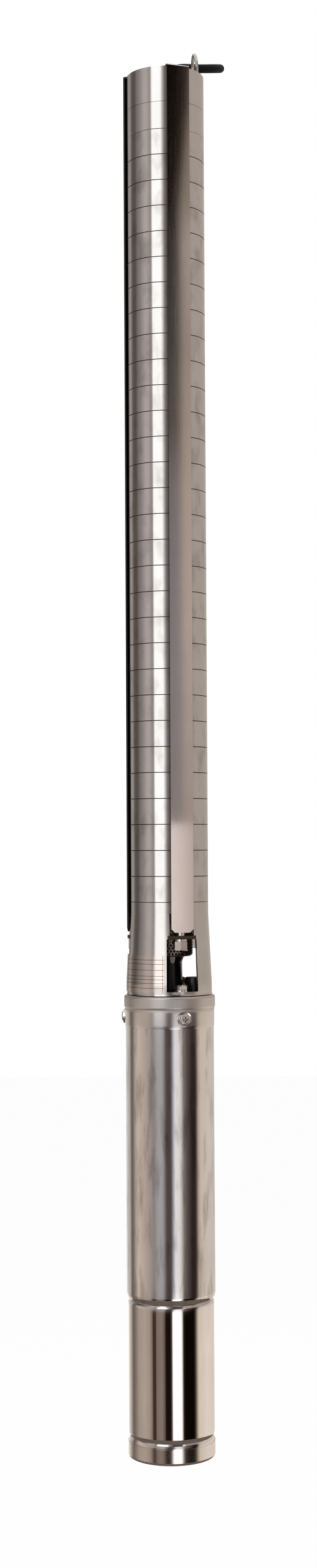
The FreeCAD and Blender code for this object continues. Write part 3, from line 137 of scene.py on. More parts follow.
# Shares of a material's roughness between which it varies, for working lines and for a moulded grain
LINES_SPREAD = (0.8, 1.25)
GRAIN_SPREAD = (0.85, 1.15)
# Roughness of the seams' and lugs' dark lines, and of sheared edges and shaded recesses
GRIMY = 0.45
DULL = 0.5
# Handling marks: the noise at which they start and are full, the most that they hide, and the height
# in which they fade to the share that is left of them
MARKS_FROM = 0.5
MARKS_FULL = 0.75
MARKS_MOST = 0.8
MARKS_FADE = 3.0
MARKS_LEFT = 0.15
# How far a face looks out from the axis, from a sheared edge in full painted shade to the strip's own face
EDGE_FACING = 0.5
FACE_FACING = 0.8
# Share of open space round a point, from a recess in full painted shade to an open face
RECESS_OPEN = 0.35
FACE_OPEN = 0.75

# Where marks lie: the seams' dark lines, the head's weld line, the painted shade on the strap lugs, the
# flange's dark line and the cap's rim
SEAM_CORE = 0.24
SEAM_LINE = 0.6
HEAD_WELD = -37.3
HEAD_WELD_HALF = 0.35
FLANGE_LINE_UP = 0.5
FLANGE_LINE_HALF = 0.45
STRAP_AZIMUTH = 19.0
LUG_HALF_ANGLE = 21.0
LUG_EDGE_ANGLE = 0.5
LUG_Z = -910.9
LUG_HALF_T = 1.95
RIM_FROM = -989.0
RIM_TO = -986.5
MIRROR_FROM = -1293.0
MIRROR_TO = -1290.0
# Half width of the label's ruled lines, their heights, and the azimuths of its border lines
LABEL_LINE = 0.22
LABEL_LINES = (-933.9, -938.2, -944.4, -950.6, -954.2, -958.0, -963.0)
LABEL_SIDES = (-110.0, -62.0, -9.0)


def rgb(code):
    """sRGB hex as the linear colour that the nodes take."""
    parts = [int(code[i:i + 2], 16) / 255 for i in (1, 3, 5)]
    return tuple(c / 12.92 if c <= 0.04045 else ((c + 0.055) / 1.055) ** 2.4 for c in parts) + (1.0,)


def add(tree, kind, inputs=None, **settings):
    """Add a node with its settings; an input is a value, or the socket that feeds it."""
    made = tree.nodes.new("ShaderNode" + kind)
    for name, value in settings.items():
        setattr(made, name, value)
    for name, value in (inputs or {}).items():
        if isinstance(value, bpy.types.NodeSocket):
            tree.links.new(value, made.inputs[name])
        else:
            made.inputs[name].default_value = value
    return made


def empty_material(name):
    made = bpy.data.materials.new(name)
    made.use_nodes = True
    made.node_tree.nodes.clear()
    return made, made.node_tree


def new_material(name, shader_values):
    """Material with one principled shader."""
    made, tree = empty_material(name)
    shader = add(tree, "BsdfPrincipled", shader_values)
    add(tree, "OutputMaterial", {"Surface": shader.outputs["BSDF"]})
    return made, tree


def shader_of(made):
    return next(n for n in made.node_tree.nodes if n.type == "BSDF_PRINCIPLED")


def grain(tree, size_mm, around=1.0, upright=1.0, detail=2.0):
    """Noise whose grains are size_mm across, drawn out so many times round or along the pump."""
    place = add(tree, "TexCoord")
    scaled = add(tree, "Mapping", {
        "Vector": place.outputs["Object"],
        "Scale": [1.0 / (size_mm * MM * s) for s in (around, around, upright)],
    })
    noise = add(tree, "TexNoise", {"Vector": scaled.outputs["Vector"], "Scale": 1.0, "Detail": detail})
    return noise.outputs["Fac"]


def place_parts(tree):
    """The X, Y and Z in metres of each point on the object, as sockets."""
    place = add(tree, "TexCoord")
    return add(tree, "SeparateXYZ", {"Vector": place.outputs["Object"]}).outputs


def azimuth_of(tree, parts):
    """The azimuth in radians of each point on the object, as a socket."""
    backwards = add(tree, "Math", {0: parts["Y"], 1: -1.0}, operation="MULTIPLY")
    return add(tree, "Math", {0: parts["X"], 1: backwards.outputs[0]}, operation="ARCTAN2").outputs[0]


def by_height(tree, from_mm, to_mm, low, high):
    """A value that goes from low to high between two heights on the object."""
    height = place_parts(tree)["Z"]
    value = add(tree, "MapRange", {
        "Value": height, "From Min": from_mm * MM, "From Max": to_mm * MM, "To Min": low, "To Max": high})
    return value.outputs["Result"]


def surface(made, tones, clouds, lines, roughness, spread, depth_mm):
    """Give a material its clouded tone, and the gloss and relief that follow its fine lines."""
    tree, shader = made.node_tree, shader_of(made)
    share = add(tree, "MapRange", {"Value": clouds, "From Min": NOISE_LOW, "From Max": NOISE_HIGH})
    color = add(tree, "Mix", {
        SHARE: share.outputs["Result"], COLOR_A: rgb(tones[0]), COLOR_B: rgb(tones[1])}, data_type="RGBA")
    tree.links.new(color.outputs[COLOR_OUT], shader.inputs["Base Color"])
    gloss = add(tree, "MapRange", {
        "Value": lines, "From Min": NOISE_LOW, "From Max": NOISE_HIGH,
        "To Min": roughness * spread[0], "To Max": roughness * spread[1]})
    tree.links.new(gloss.outputs["Result"], shader.inputs["Roughness"])
    relief = add(tree, "Bump", {"Height": lines, "Distance": depth_mm * MM, "Strength": 1.0})
    tree.links.new(relief.outputs["Normal"], shader.inputs["Normal"])


def metal(name, tones, roughness, line_mm, depth_mm, around=40.0, upright=1.0, cloud_mm=35.0):
    """Bare metal with working lines.

    Lines of polishing, turning or rolling are really under 0.1 mm apart. They are drawn coarser here,
    line_mm apart, so that they show.
    """
    made, tree = new_material(name, {"Metallic": 1.0})
    clouds = grain(tree, cloud_mm, detail=3.0)
    lines = grain(tree, line_mm, around, upright, 3.0)
    surface(made, tones, clouds, lines, roughness, LINES_SPREAD, depth_mm)
    return made


def matte(name, tones, roughness, grain_mm, depth_mm, metallic=0.0, ior=1.5):
    """Rubber, plastic, varnish or blackened metal: fine grain in its tone, gloss and surface.

    The grain is coarser than the real one, so that it shows.
    """
    made, tree = new_material(name, {"Metallic": metallic, "IOR": ior})
    spots = grain(tree, grain_mm, detail=4.0)
    surface(made, tones, spots, spots, roughness, GRAIN_SPREAD, depth_mm)
    return made


def gloss_by_height(made, from_mm, to_mm, below, above):
    """One roughness below two heights and another above them, in place of the lines' own."""
    tree, roughness = made.node_tree, shader_of(made).inputs["Roughness"]
    tree.nodes.remove(roughness.links[0].from_node)
    tree.links.new(by_height(tree, from_mm, to_mm, below, above), roughness)


def soil(made, share, tone, roughness=None):
    """Lay a tone, and its own roughness if it has one, over a material where share is 1."""
    tree, shader = made.node_tree, shader_of(made)
    laid = {"Base Color": rgb(tone)}
    if roughness is not None:
        laid["Roughness"] = (roughness, roughness, roughness, 1.0)
    for name, value in laid.items():
        under = shader.inputs[name].links[0].from_socket
        mixed = add(tree, "Mix", {SHARE: share, COLOR_A: under, COLOR_B: value}, data_type="RGBA")
        tree.links.new(mixed.outputs[COLOR_OUT], shader.inputs[name])


def shear_edges(made):
    """Dull sheared edges, darkened as painted shade: the faces that don't look out from the pump's axis.
    """
    tree = made.node_tree
    place = add(tree, "TexCoord")
    level = add(tree, "VectorMath", {0: place.outputs["Object"], 1: (1.0, 1.0, 0.0)}, operation="MULTIPLY")
    outwards = add(tree, "VectorMath", {0: level.outputs[0]}, operation="NORMALIZE")
    facing = add(
        tree, "VectorMath", {0: outwards.outputs[0], 1: place.outputs["Normal"]}, operation="DOT_PRODUCT")
    share = add(tree, "MapRange", {
        "Value": facing.outputs["Value"], "From Min": EDGE_FACING, "From Max": FACE_FACING,
        "To Min": 1.0, "To Max": 0.0})
    # The edges' dark tone is painted shade; their dullness is the sheared finish
    soil(made, share.outputs["Result"], "#3a3533", DULL)


def line_round(made, z, half, tone):
    """Fine darker line round the object at one height."""
    tree = made.node_tree
    height = place_parts(tree)["Z"]
    line = add(tree, "Math", {0: height, 1: z * MM, 2: half * MM}, operation="COMPARE")
    soil(made, line.outputs[0], tone)


def soil_lugs(made):
    """Painted shade on the front edges of the lugs that the straps' studs go through.

    Folding the azimuth at a sixth of a turn makes 0 come at each of the three lugs.
    """
    tree = made.node_tree
    parts = place_parts(tree)
    azimuth = azimuth_of(tree, parts)
    from_first = add(tree, "Math", {0: azimuth, 1: radians(STRAP_AZIMUTH)}, operation="SUBTRACT")
    aside = add(tree, "Math", {0: from_first.outputs[0], 1: pi / 3}, operation="PINGPONG")
    across = add(tree, "MapRange", {
        "Value": aside.outputs[0], "From Min": radians(LUG_HALF_ANGLE),
        "From Max": radians(LUG_HALF_ANGLE + LUG_EDGE_ANGLE), "To Min": 1.0, "To Max": 0.0})
    at_lug = add(tree, "Math", {0: parts["Z"], 1: LUG_Z * MM, 2: LUG_HALF_T * MM}, operation="COMPARE")
    share = add(tree, "Math", {0: across.outputs["Result"], 1: at_lug.outputs[0]}, operation="MULTIPLY")
    # The lugs' dark tone is painted shade, laid with a duller roughness
    soil(made, share.outputs[0], "#55493f", GRIMY)


def soil_hollows(made, tone, reach_mm):
    """Small parts whose recesses are darkened and dulled: painted shade where little space is open round a
    point.
    """
    tree = made.node_tree
    open_share = add(tree, "AmbientOcclusion", {"Distance": reach_mm * MM}, samples=8, only_local=True)
    share = add(tree, "MapRange", {
        "Value": open_share.outputs["AO"], "From Min": RECESS_OPEN, "From Max": FACE_OPEN,
        "To Min": 1.0, "To Max": 0.0})
    # The recesses' dark tone is painted shade
    soil(made, share.outputs["Result"], tone, DULL)


def smudge(made, tone, size_mm, upright, above=None):
    """Handling marks: darker blotches drawn out upwards, faint under one height if it is given."""
    tree = made.node_tree
    marks = add(tree, "MapRange", {
        "Value": grain(tree, size_mm, upright=upright, detail=6.0),
        "From Min": MARKS_FROM, "From Max": MARKS_FULL, "To Min": 0.0, "To Max": MARKS_MOST})
    share = marks.outputs["Result"]
    if above is not None:
        kept = by_height(tree, above, above + MARKS_FADE, MARKS_LEFT, 1.0)
        share = add(tree, "Math", {0: share, 1: kept}, operation="MULTIPLY").outputs[0]
    soil(made, share, tone)


def soil_seams(made):
    """A dark, dull line in each seam; folding the height at half a pitch makes 0 come there."""
    tree = made.node_tree
    above = add(tree, "Math", {0: place_parts(tree)["Z"], 1: -STACK_TOP * MM}, operation="ADD")
    folded = add(tree, "Math", {0: above.outputs[0], 1: BOWL_PITCH * MM / 2}, operation="PINGPONG")
    share = add(tree, "MapRange", {
        "Value": folded.outputs[0], "From Min": SEAM_CORE * MM, "From Max": SEAM_LINE * MM,
        "To Min": 1.0, "To Max": 0.0})
    soil(made, share.outputs["Result"], "#4a423e", GRIMY)


def rule_lines(made):
    """An etched table of brown ruled lines and border lines, with all its cells empty."""
    tree = made.node_tree
    parts = place_parts(tree)
    azimuth = azimuth_of(tree, parts)
    ruled = [(parts["Z"], z * MM, LABEL_LINE * MM) for z in LABEL_LINES]
    ruled += [(azimuth, radians(side), LABEL_LINE / SHELL_R) for side in LABEL_SIDES]
    inked = 0.0
    for value, centre, half in ruled:
        line = add(tree, "Math", {0: value, 1: centre, 2: half}, operation="COMPARE")
        inked = add(tree, "Math", {0: inked, 1: line.outputs[0]}, operation="MAXIMUM").outputs[0]
    soil(made, inked, "#6f4b3a")


def make_steels():
    """The pump's stainless steels, by their names in dress_nodes."""
    made = {}
    # AISI 304 sheet, deep drawn and polished round: satin, its reflections drawn out upwards
    made["bowl"] = metal(
        "drawn_stainless_bowl", ("#cecccb", "#c8c6c4"), roughness=0.10, line_mm=0.5, depth_mm=0.002)
    smudge(made["bowl"], "#a8a4a1", size_mm=14.0, upright=2.0)
    soil_seams(made["bowl"])
    # The same steel turned on a lathe: a little duller than the bowls, with one weld line round it
    made["head"] = metal(
        "turned_stainless_head", ("#cecccb", "#c8c6c4"), roughness=0.12, line_mm=0.6, depth_mm=0.003)
    line_round(made["head"], HEAD_WELD, HEAD_WELD_HALF, "#98908b")
    # Cold rolled strip: glossy on its face, with rolling lines up the strap, and dull sheared edges
    # darkened by painted shade
    made["strap"] = metal(
        "rolled_stainless_strip", ("#cecccb", "#c9c7c5"), roughness=0.06, line_mm=0.5, depth_mm=0.0004,
        around=1.0, upright=60.0)
    shear_edges(made["strap"])
    # Pressed and polished sheet: satin, slightly uneven, with painted shade on the lugs' front edges and a
    # dark line at its foot
    made["bracket"] = metal(
        "pressed_stainless_bracket", ("#cccac8", "#c5c2bf"), roughness=0.13, line_mm=0.6, depth_mm=0.002,
        around=30.0, cloud_mm=22.0)
    soil_lugs(made["bracket"])
    line_round(made["bracket"], FLANGE + FLANGE_LINE_UP, FLANGE_LINE_HALF, "#3b322d")
    # Perforated and pickled sheet: dull, and greyer than the steel as painted shade, so that the holes
    # read as dots
    made["basket"] = metal(
        "perforated_stainless_sheet", ("#8f8680", "#7b726c"), roughness=0.32, line_mm=0.6, depth_mm=0.004)
    # Drawn tube polished round: satin and smudged down to its groove, mirror bright under it
    made["shell"] = metal(
        "polished_stainless_tube", ("#cecccb", "#c8c6c4"), roughness=0.15, line_mm=0.8, depth_mm=0.0008,
        around=60.0, cloud_mm=45.0)
    smudge(made["shell"], "#8f8a87", size_mm=9.0, upright=5.0, above=MIRROR_TO)
    gloss_by_height(made["shell"], MIRROR_FROM, MIRROR_TO, below=0.03, above=0.11)
    # Pressed cap, brushed round: satin, with a dull blasted rim
    made["cap"] = metal(
        "brushed_stainless_cap", ("#cecbc8", "#c5c2be"), roughness=0.15, line_mm=0.5, depth_mm=0.003)
    gloss_by_height(made["cap"], RIM_FROM, RIM_TO, below=0.17, above=0.42)
    # A2 nuts, screws, washers and studs, turned and cold formed: bright faces, painted shade in the
    # recesses
    made["fastener"] = metal(
        "stainless_fastener", ("#dad8d5", "#cecbc8"), roughness=0.18, line_mm=0.4, depth_mm=0.004,
        around=1.0, cloud_mm=8.0)
    soil_hollows(made["fastener"], "#1d1815", reach_mm=1.6)
    # Drawn wire: soft highlights, with no lines to see
    made["wire"] = metal(
        "stainless_wire", ("#c9c7c3", "#bdbab5"), roughness=0.24, line_mm=0.5, depth_mm=0.004,
        around=1.0, cloud_mm=10.0)
    # Sheet etched all over: pale and even, with its ruled table in brown
    made["label"] = metal(
        "etched_stainless_label", ("#d6cfca", "#ccc4be"), roughness=0.16, line_mm=0.5, depth_mm=0.002,
        around=60.0)
    rule_lines(made["label"])
    return made


def make_inner_metals():
    """Metals of the shafts, the bearings and the motor, most of them out of sight."""
    made = {}
    # Ground shaft steel: bright, with grinding lines round it
    made["ground"] = metal(
        "ground_shaft_steel", ("#cfcdca", "#c5c2bf"), roughness=0.12, line_mm=0.4, depth_mm=0.002)
    # Electrical steel, stacked 0.5 mm sheets: dark grey, with fine lines as close as the sheets
    made["laminated"] = metal(
        "laminated_electrical_steel", ("#7a7977", "#5f5e5c"), roughness=0.45, line_mm=0.5, depth_mm=0.02,
        around=80.0)
    # Grey cast iron, machined: dull grey with an open grain
    made["cast"] = metal(
        "machined_cast_iron", ("#7d7a76", "#64615d"), roughness=0.50, line_mm=1.0, depth_mm=0.02,
        around=1.0, cloud_mm=12.0)
    # Leaded bronze, bored: warm yellow and satin
    made["bronze"] = metal(
        "bearing_bronze", ("#b98a52", "#a97b46"), roughness=0.30, line_mm=0.5, depth_mm=0.004,
        around=20.0, cloud_mm=10.0)
    # Enamelled copper wire, wound and varnished: copper red with the ridges of its wires
    made["winding"] = matte(
        "varnished_copper_winding", ("#b0643a", "#8f4c2a"), roughness=0.35, grain_mm=1.2, depth_mm=0.15,
        metallic=0.6)
    # Steel sleeve with a black oxide finish, darkened to near black as painted shade, with a soft sheen
    made["coupling"] = matte(
        "black_oxide_and_shade_steel", ("#0d0c0d", "#070707"), roughness=0.30, grain_mm=1.0, depth_mm=0.004,
        metallic=0.3)
    return made


def make_rubbers_and_plastics():
    made = {}
    # EPDM rubber sheath, extruded: matt black with a light bloom on it
    made["lead"] = matte(
        "epdm_lead_sheath", ("#0b0b0c", "#060607"), roughness=0.62, grain_mm=1.4, depth_mm=0.03, ior=1.3)
    # Rubber of the plug, moulded in a polished tool: black with soft glints
    made["plug"] = matte(
        "moulded_rubber_plug", ("#0d0d0e", "#080809"), roughness=0.30, grain_mm=2.0, depth_mm=0.015)
    # NBR rubber of bushes, seal and diaphragm, moulded: dark grey and matt
    made["rubber"] = matte(
        "nitrile_rubber", ("#19191a", "#0f0f10"), roughness=0.50, grain_mm=1.0, depth_mm=0.02)
    # PPO plastic of the impellers, moulded: cream, half matt
    made["impeller"] = matte(
        "moulded_ppo_impeller", ("#d8d2bf", "#cbc4af"), roughness=0.40, grain_mm=1.5, depth_mm=0.01)
    # Acetal of the wear rings, machined: dark grey and waxy
    made["ring"] = matte(
        "acetal_wear_ring", ("#3a3a3c", "#2e2e30"), roughness=0.35, grain_mm=1.0, depth_mm=0.008)
    # PVC sheath of the bare cores, extruded: black, a little glossier than the lead
    made["core"] = matte(
        "pvc_core_sheath", ("#242425", "#19191a"), roughness=0.40, grain_mm=0.8, depth_mm=0.01)
    return made


def dress(material, *names):
    for name in names:
        slots = node[name].data.materials
        slots.clear()
        slots.append(material)


def dress_nodes(made):
    dress(made["bowl"], "stage_bowls_1", "stage_bowls_2", "stage_bowls_3")
    dress(made["head"], "discharge_head", "valve_guide", "valve_seat", "valve_cone")
    dress(made["strap"], "strap_front", "strap_rear", "strap_left", "cable_guard")
    dress(made["bracket"], "suction_bracket")
    dress(made["basket"], "strainer_basket")
    dress(made["shell"], "motor_shell")
    dress(made["cap"], "motor_cap", "base_cover")
    dress(made["fastener"], "strap_studs", "strap_washers", "strap_nuts", "guard_screws", "cap_screws")
    dress(made["fastener"], "cap_screw_cups", "motor_studs", "motor_washers", "motor_nuts")
    dress(made["wire"], "rope_ring", "valve_spring")
    dress(made["ground"], "pump_shaft", "motor_shaft", "thrust_disc", "thrust_pads")
    dress(made["label"], "nameplate")
    dress(made["laminated"], "stator_core", "rotor_core")
    dress(made["cast"], "upper_end_bell", "lower_bearing_carrier", "thrust_seat")
    dress(made["bronze"], "upper_motor_bush", "lower_motor_bush")
    dress(made["winding"], "stator_windings")
    dress(made["coupling"], "coupling")
    dress(made["lead"], "lead_lower", "lead_riser", "lead_tail")
    dress(made["plug"], "lead_plug")
    dress(made["rubber"], "bearing_bushes", "suction_bush", "shaft_seal", "sand_slinger", "diaphragm")
    dress(made["impeller"], "impellers")
    dress(made["ring"], "neck_rings")
    dress(made["core"], "lead_cores")


def cord_curve(name, points, material):
    """Round smooth cord with the route's points as its control points."""
    data = bpy.data.curves.new(name, "CURVE")
    data.dimensions = "3D"
    data.resolution_u = 16
    data.bevel_depth = LEAD_R * MM
    data.bevel_resolution = 8
    data.use_fill_caps = True
    spline = data.splines.new("NURBS")
    spline.points.add(len(points) - 1)
    for point, place in zip(spline.points, points):
        point.co = (*(Vector(place) * MM), 1.0)
    spline.order_u = 3
    spline.use_endpoint_u = True
    data.materials.append(material)
    piece = new_object(name, data)
    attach(piece, "pump")
    return piece


def make_lead(rubber):
    """The motor's lead: its bend in the window, and the free tail that ends in bare cores."""
    bend = cord_curve("lead_bend", LEAD_WINDOW, rubber)
    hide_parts("lead_lower")
    tail = cord_curve("lead_free_tail", LEAD_TAIL, rubber)
    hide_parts("lead_tail")


def basket_place(angle, down, inwards):
    """Point of the sheet: down its straight wall, round its lower edge and in along its bottom."""
    straight = BASKET_TOP - BASKET_END - BASKET_ROUND
    curve = pi / 2 * BASKET_ROUND
    r, z = BASKET_R - inwards, BASKET_TOP - down
    if down > straight:
        turn = min(down - straight, curve) / BASKET_ROUND
        bend_r = BASKET_ROUND - inwards
        r = BASKET_R - BASKET_ROUND + bend_r * cos(turn) - max(0.0, down - straight - curve)
        z = BASKET_END + BASKET_ROUND - bend_r * sin(turn)
    return (r * sin(angle), -r * cos(angle), z)


def weld(points, index, column, down, inwards):
    """Index of a point of the sheet, made once; column 0 comes round again after the last one."""
    key = (
        round(column * WELD_STEPS) % (HOLES_ROUND * WELD_STEPS), round(down * WELD_STEPS), inwards)
    if key not in index:
        index[key] = len(points)
        points.append(basket_place(tau * column / HOLES_ROUND, down, inwards))
    return index[key]


def hole_cell(pitch):
    """A hexagon and the round hole in it: for each corner, columns along and millimetres down."""
    cell = []
    for k in range(HOLE_SIDES):
        a = pi / 2 + k * tau / HOLE_SIDES
        corner = pitch / sqrt(3) if k % 2 == 0 else pitch / 2
        cell.append((corner * cos(a) / pitch, corner * sin(a), HOLE_R * cos(a) / pitch, HOLE_R * sin(a)))
    return cell


def add_holed_sheet(points, faces, pitch, row_h, rows, last):
    """Both sides of the perforated sheet, the walls of its holes, and its two borders."""
    cell = hole_cell(pitch)
    index, borders = {}, {}
    for row in range(rows):
        down = last - row * row_h
        for column in range(HOLES_ROUND):
            along = column + 0.5 * (row % 2)
            rings = []
            for inwards in (0.0, BASKET_T):
                edge = [weld(points, index, along + ex, down - ez, inwards) for ex, ez, hx, hz in cell]
                hole = [weld(points, index, along + hx, down - hz, inwards) for ex, ez, hx, hz in cell]
                rings.append((edge, hole))
            (edge, hole), (edge_in, hole_in) = rings
            for k in range(HOLE_SIDES):
                n = (k + 1) % HOLE_SIDES
                faces.append((edge[k], edge[n], hole[n], hole[k]))
                faces.append((edge_in[n], edge_in[k], hole_in[k], hole_in[n]))
                faces.append((hole[k], hole[n], hole_in[n], hole_in[k]))
                if (edge[n], edge[k]) in borders:
                    del borders[(edge[n], edge[k])]
                else:
                    borders[(edge[k], edge[n])] = (edge[n], edge[k], edge_in[k], edge_in[n])
    faces.extend(borders.values())


def rim_outline(low, high):
    """Section of a plain band of the sheet, a hair thicker than the holed part that runs into it."""
    downs = [low + (high - low) * i / RIM_STEPS for i in range(RIM_STEPS + 1)]
    outer = [basket_place(0.0, down, -RIM_LAP) for down in downs]
    inner = [basket_place(0.0, down, BASKET_T + RIM_LAP) for down in reversed(downs)]
    return [(-y, z) for x, y, z in outer + inner]


def add_turning(points, faces, outline):
    """Closed outline of (r, z) points turned about the pump's axis."""
    start, count = len(points), len(outline)
    for i in range(RIM_SIDES):
        a = tau * i / RIM_SIDES
        points.extend((r * sin(a), -r * cos(a), z) for r, z in outline)
    for i in range(RIM_SIDES):
        here, there = start + i * count, start + ((i + 1) % RIM_SIDES) * count
        for j in range(count):
            k = (j + 1) % count
            faces.append((here + j, there + j, there + k, here + k))


def add_tongue(points, faces):
    """Sheet tongue under the strainer's bottom, narrower towards its round end."""
    end_r = TAB_END_W / 2
    outline = [(TAB_W / 2, BASKET_END + BASKET_T / 2)]
    for i in range(TAB_END_SIDES + 1):
        a = pi * i / TAB_END_SIDES
        outline.append((end_r * cos(a), BASKET_END - TAB_H + end_r - end_r * sin(a)))
    outline.append((-TAB_W / 2, BASKET_END + BASKET_T / 2))
    start, count = len(points), len(outline)
    spin = radians(TAB_AZIMUTH)
    for depth in (TAB_R + BASKET_T, TAB_R):
        for x, z in outline:
            points.append((x * cos(spin) + depth * sin(spin), x * sin(spin) - depth * cos(spin), z))
    faces.append(tuple(range(start + count - 1, start - 1, -1)))
    faces.append(tuple(range(start + count, start + 2 * count)))
    for i in range(count):
        j = (i + 1) % count
        faces.append((start + i, start + j, start + count + j, start + count + i))


def make_basket(sheet_steel):
    """Perforated sheet under a plain rim, over its rounded lower edge, with its tongue."""
    points, faces = [], []
    pitch = tau * BASKET_R / HOLES_ROUND
    row_h = pitch * sqrt(3) / 2
    wall = BASKET_TOP - BASKET_END - BASKET_ROUND
    reach = wall + pi / 2 * BASKET_ROUND + BASKET_R - BASKET_ROUND - BASKET_HOLE_R
    rows = int((reach - pitch) / row_h)
    last = reach - LAST_ROW_PITCHES * pitch
    add_holed_sheet(points, faces, pitch, row_h, rows, last)
    rim_low = last - (rows - 1) * row_h
    add_turning(points, faces, rim_outline(0.0, rim_low))
    add_turning(points, faces, rim_outline(last, reach))
    add_tongue(points, faces)
    mesh = bpy.data.meshes.new("strainer_sheet")
    mesh.from_pydata([Vector(p) * MM for p in points], [], faces)
    mesh.validate()
    mesh.materials.append(sheet_steel)
    basket = new_object("strainer_sheet", mesh)
    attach(basket, "pump")
    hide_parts("strainer_basket")


def make_valve_coil(wire):
    """The valve's spring as a piece of its own on the pump, dressed in the wire steel."""
    coil = new_object("valve_coil", node["valve_spring"].data.copy())
    coil.matrix_world = node["valve_spring"].matrix_world.copy()
    coil.data.materials.clear()
    coil.data.materials.append(wire)
    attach(coil, "pump")
    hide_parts("valve_spring")
    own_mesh(coil)


# Studio: the pump hangs clear of a pale floor, with lit cloths and dark flags round it
FLOOR_DROP = 450.0
FLOOR_HALF_M = 8.0
FLOOR_WHITE = 0.95
WORLD_LIGHT = 0.75
LAMP_AIM = (0.0, 0.0, -0.72)
# Lamps: place and size in metres, and energy in watts
LAMPS = {
    "key_lamp": ((-1.7, -1.9, 0.6), (1.2, 2.0), 26.0),
    "fill_lamp": ((1.9, -1.5, -0.3), (1.2, 2.0), 16.0),
    "back_lamp": ((0.4, 2.2, 0.4), (1.4, 2.0), 16.0),
}

# Cloths hang round the pump at one radius, those for the front strap a little nearer.
# The heights are where the next part of the pump starts to show in them.
SCREEN_R = 1200.0
SCREEN_TOP_Z = 800.0
BRACKET_Z = -1060.0
GROOVE_Z = -1540.0
CLOTH_STEP = 4.0
CLOTH_GLOW = 1.65
LOWER_CLOTH_GLOW = 2.4
PATCH_R = 1190.0
PATCH_SPAN = (30.0, 60.0)
STRAP_VIEW = 37.75
STRAP_END_Z = -780.0
# Dark flags in front of those: their joint heights, and the azimuth of their right edge at each
FLAG_R = 1185.0
FLAG_HEIGHTS = (190.0, 360.0)
FLAG_EDGES = (37.7, 38.5, 39.5)
LOW_FLAG_LIFT = 6.0
LOW_FLAG_SIDES = 72
LOW_FLAG_TONE = "#635852"

# Tones of the cloths by azimuth, for the stages, the upper and the lower part of the motor. They are
# chosen so that the reflections on the steel look like the photograph's
STAGE_TONES = [
    (-180, "#a8a29c"), (-150, "#6d6661"), (-130, "#96908b"), (-116, "#58514d"), (-101, "#524b47"),
    (-91, "#75706d"), (-80, "#85807d"), (-64, "#aaa09d"), (-54, "#a8a09d"), (-47, "#8f8885"),
    (-41.5, "#928c8a"), (-40, "#ffffff"), (-14, "#ffffff"), (-9, "#c4bfbd"), (-4, "#7e7775"),
    (4, "#4c4543"), (12, "#453f3d"), (30, "#5a514d"), (60, "#8c7f78"), (84, "#a1978f"),
    (180, "#a09890"),
]
UPPER_MOTOR_TONES = [
    (-180, "#d0cdca"), (-152, "#c0bcb8"), (-129, "#a8a19c"), (-119, "#5f5751"), (-110, "#756d66"),
    (-99, "#b4a69c"), (-90, "#c1b1a7"), (-69, "#afa098"), (-52, "#9a9089"), (-43, "#87807d"),
    (-32, "#9f9b9d"), (-22, "#9f9ea1"), (-16, "#848180"), (-11, "#4f4846"), (-2, "#453e3c"),
    (2.5, "#4f4947"), (7, "#a09ca4"), (12, "#dedce3"), (23, "#dbd7d4"), (27, "#c4bcb9"),
    (34, "#776e6b"), (43, "#55494a"), (56, "#2b2220"), (66, "#261e1b"), (71, "#53483f"),
    (76, "#a89a8e"), (84, "#c4b6a9"), (118, "#c6bdb3"), (180, "#a9a299"),
]
LOWER_MOTOR_TONES = [
    (-180, "#c3c0be"), (-150, "#aaa59f"), (-132, "#867e77"), (-121, "#554c45"), (-108, "#6b6158"),
    (-95, "#887d74"), (-75, "#90847b"), (-60, "#877a6f"), (-53.5, "#71655c"), (-48.5, "#33261f"),
    (-42.5, "#2e221b"), (-38, "#675b54"), (-25, "#6d625b"), (-18, "#534842"), (-14.5, "#150c09"),
    (-2, "#110907"), (2, "#59504e"), (5, "#f6f2f1"), (24, "#fffdf9"), (28.5, "#afaaa4"),
    (32, "#1d1613"), (38, "#080503"), (60, "#080503"), (65.5, "#221b17"), (71, "#74685d"),
    (77, "#b0a497"), (110, "#b9aea4"), (180, "#9f9489"),
]
# Tones by height for what the front strap shows, at its left and at the rest of its width
STRAP_LEFT_TONES = [
    (-800, "#7f7675"), (-450, "#777376"), (-240, "#696466"), (-160, "#494643"), (-10, "#353532"),
    (130, "#201f1d"), (207, "#131110"), (300, "#080504"),
]
STRAP_RIGHT_TONES = [
    (-800, "#9a8980"), (-700, "#a0928a"), (-450, "#b09f95"), (-240, "#a8978b"), (-10, "#97877e"),
    (134, "#a3948b"), (207, "#887b70"), (400, "#7f7064"),
]
STRAP_END_TONES = [(37.2, "#ded2ce"), (38.0, "#c0b0a9"), (38.8, "#93867e")]
DARK_TONES = [(0, "#070403"), (1, "#070403")]


def hang(name, points, faces, material):
    """Put a cloth into the studio where only reflections show it."""
    mesh = bpy.data.meshes.new(name)
    mesh.from_pydata(points, [], faces)
    mesh.materials.append(material)
    made = new_object(name, mesh)
    made.visible_camera = False
    made.visible_diffuse = False
    made.visible_shadow = False


def low_flag():
    """Dark round cloth just over the floor, for what faces down on the object."""
    z = BOTTOM - FLOOR_DROP + LOW_FLAG_LIFT
    points = [at(360.0 * i / LOW_FLAG_SIDES, SCREEN_R, z) for i in range(LOW_FLAG_SIDES)]
    dark, tree = empty_material("low_flag")
    glow = add(tree, "Emission", {"Color": rgb(LOW_FLAG_TONE), "Strength": CLOTH_GLOW})
    add(tree, "OutputMaterial", {"Surface": glow.outputs["Emission"]})
    hang("low_flag", points, [tuple(range(LOW_FLAG_SIDES))], dark)


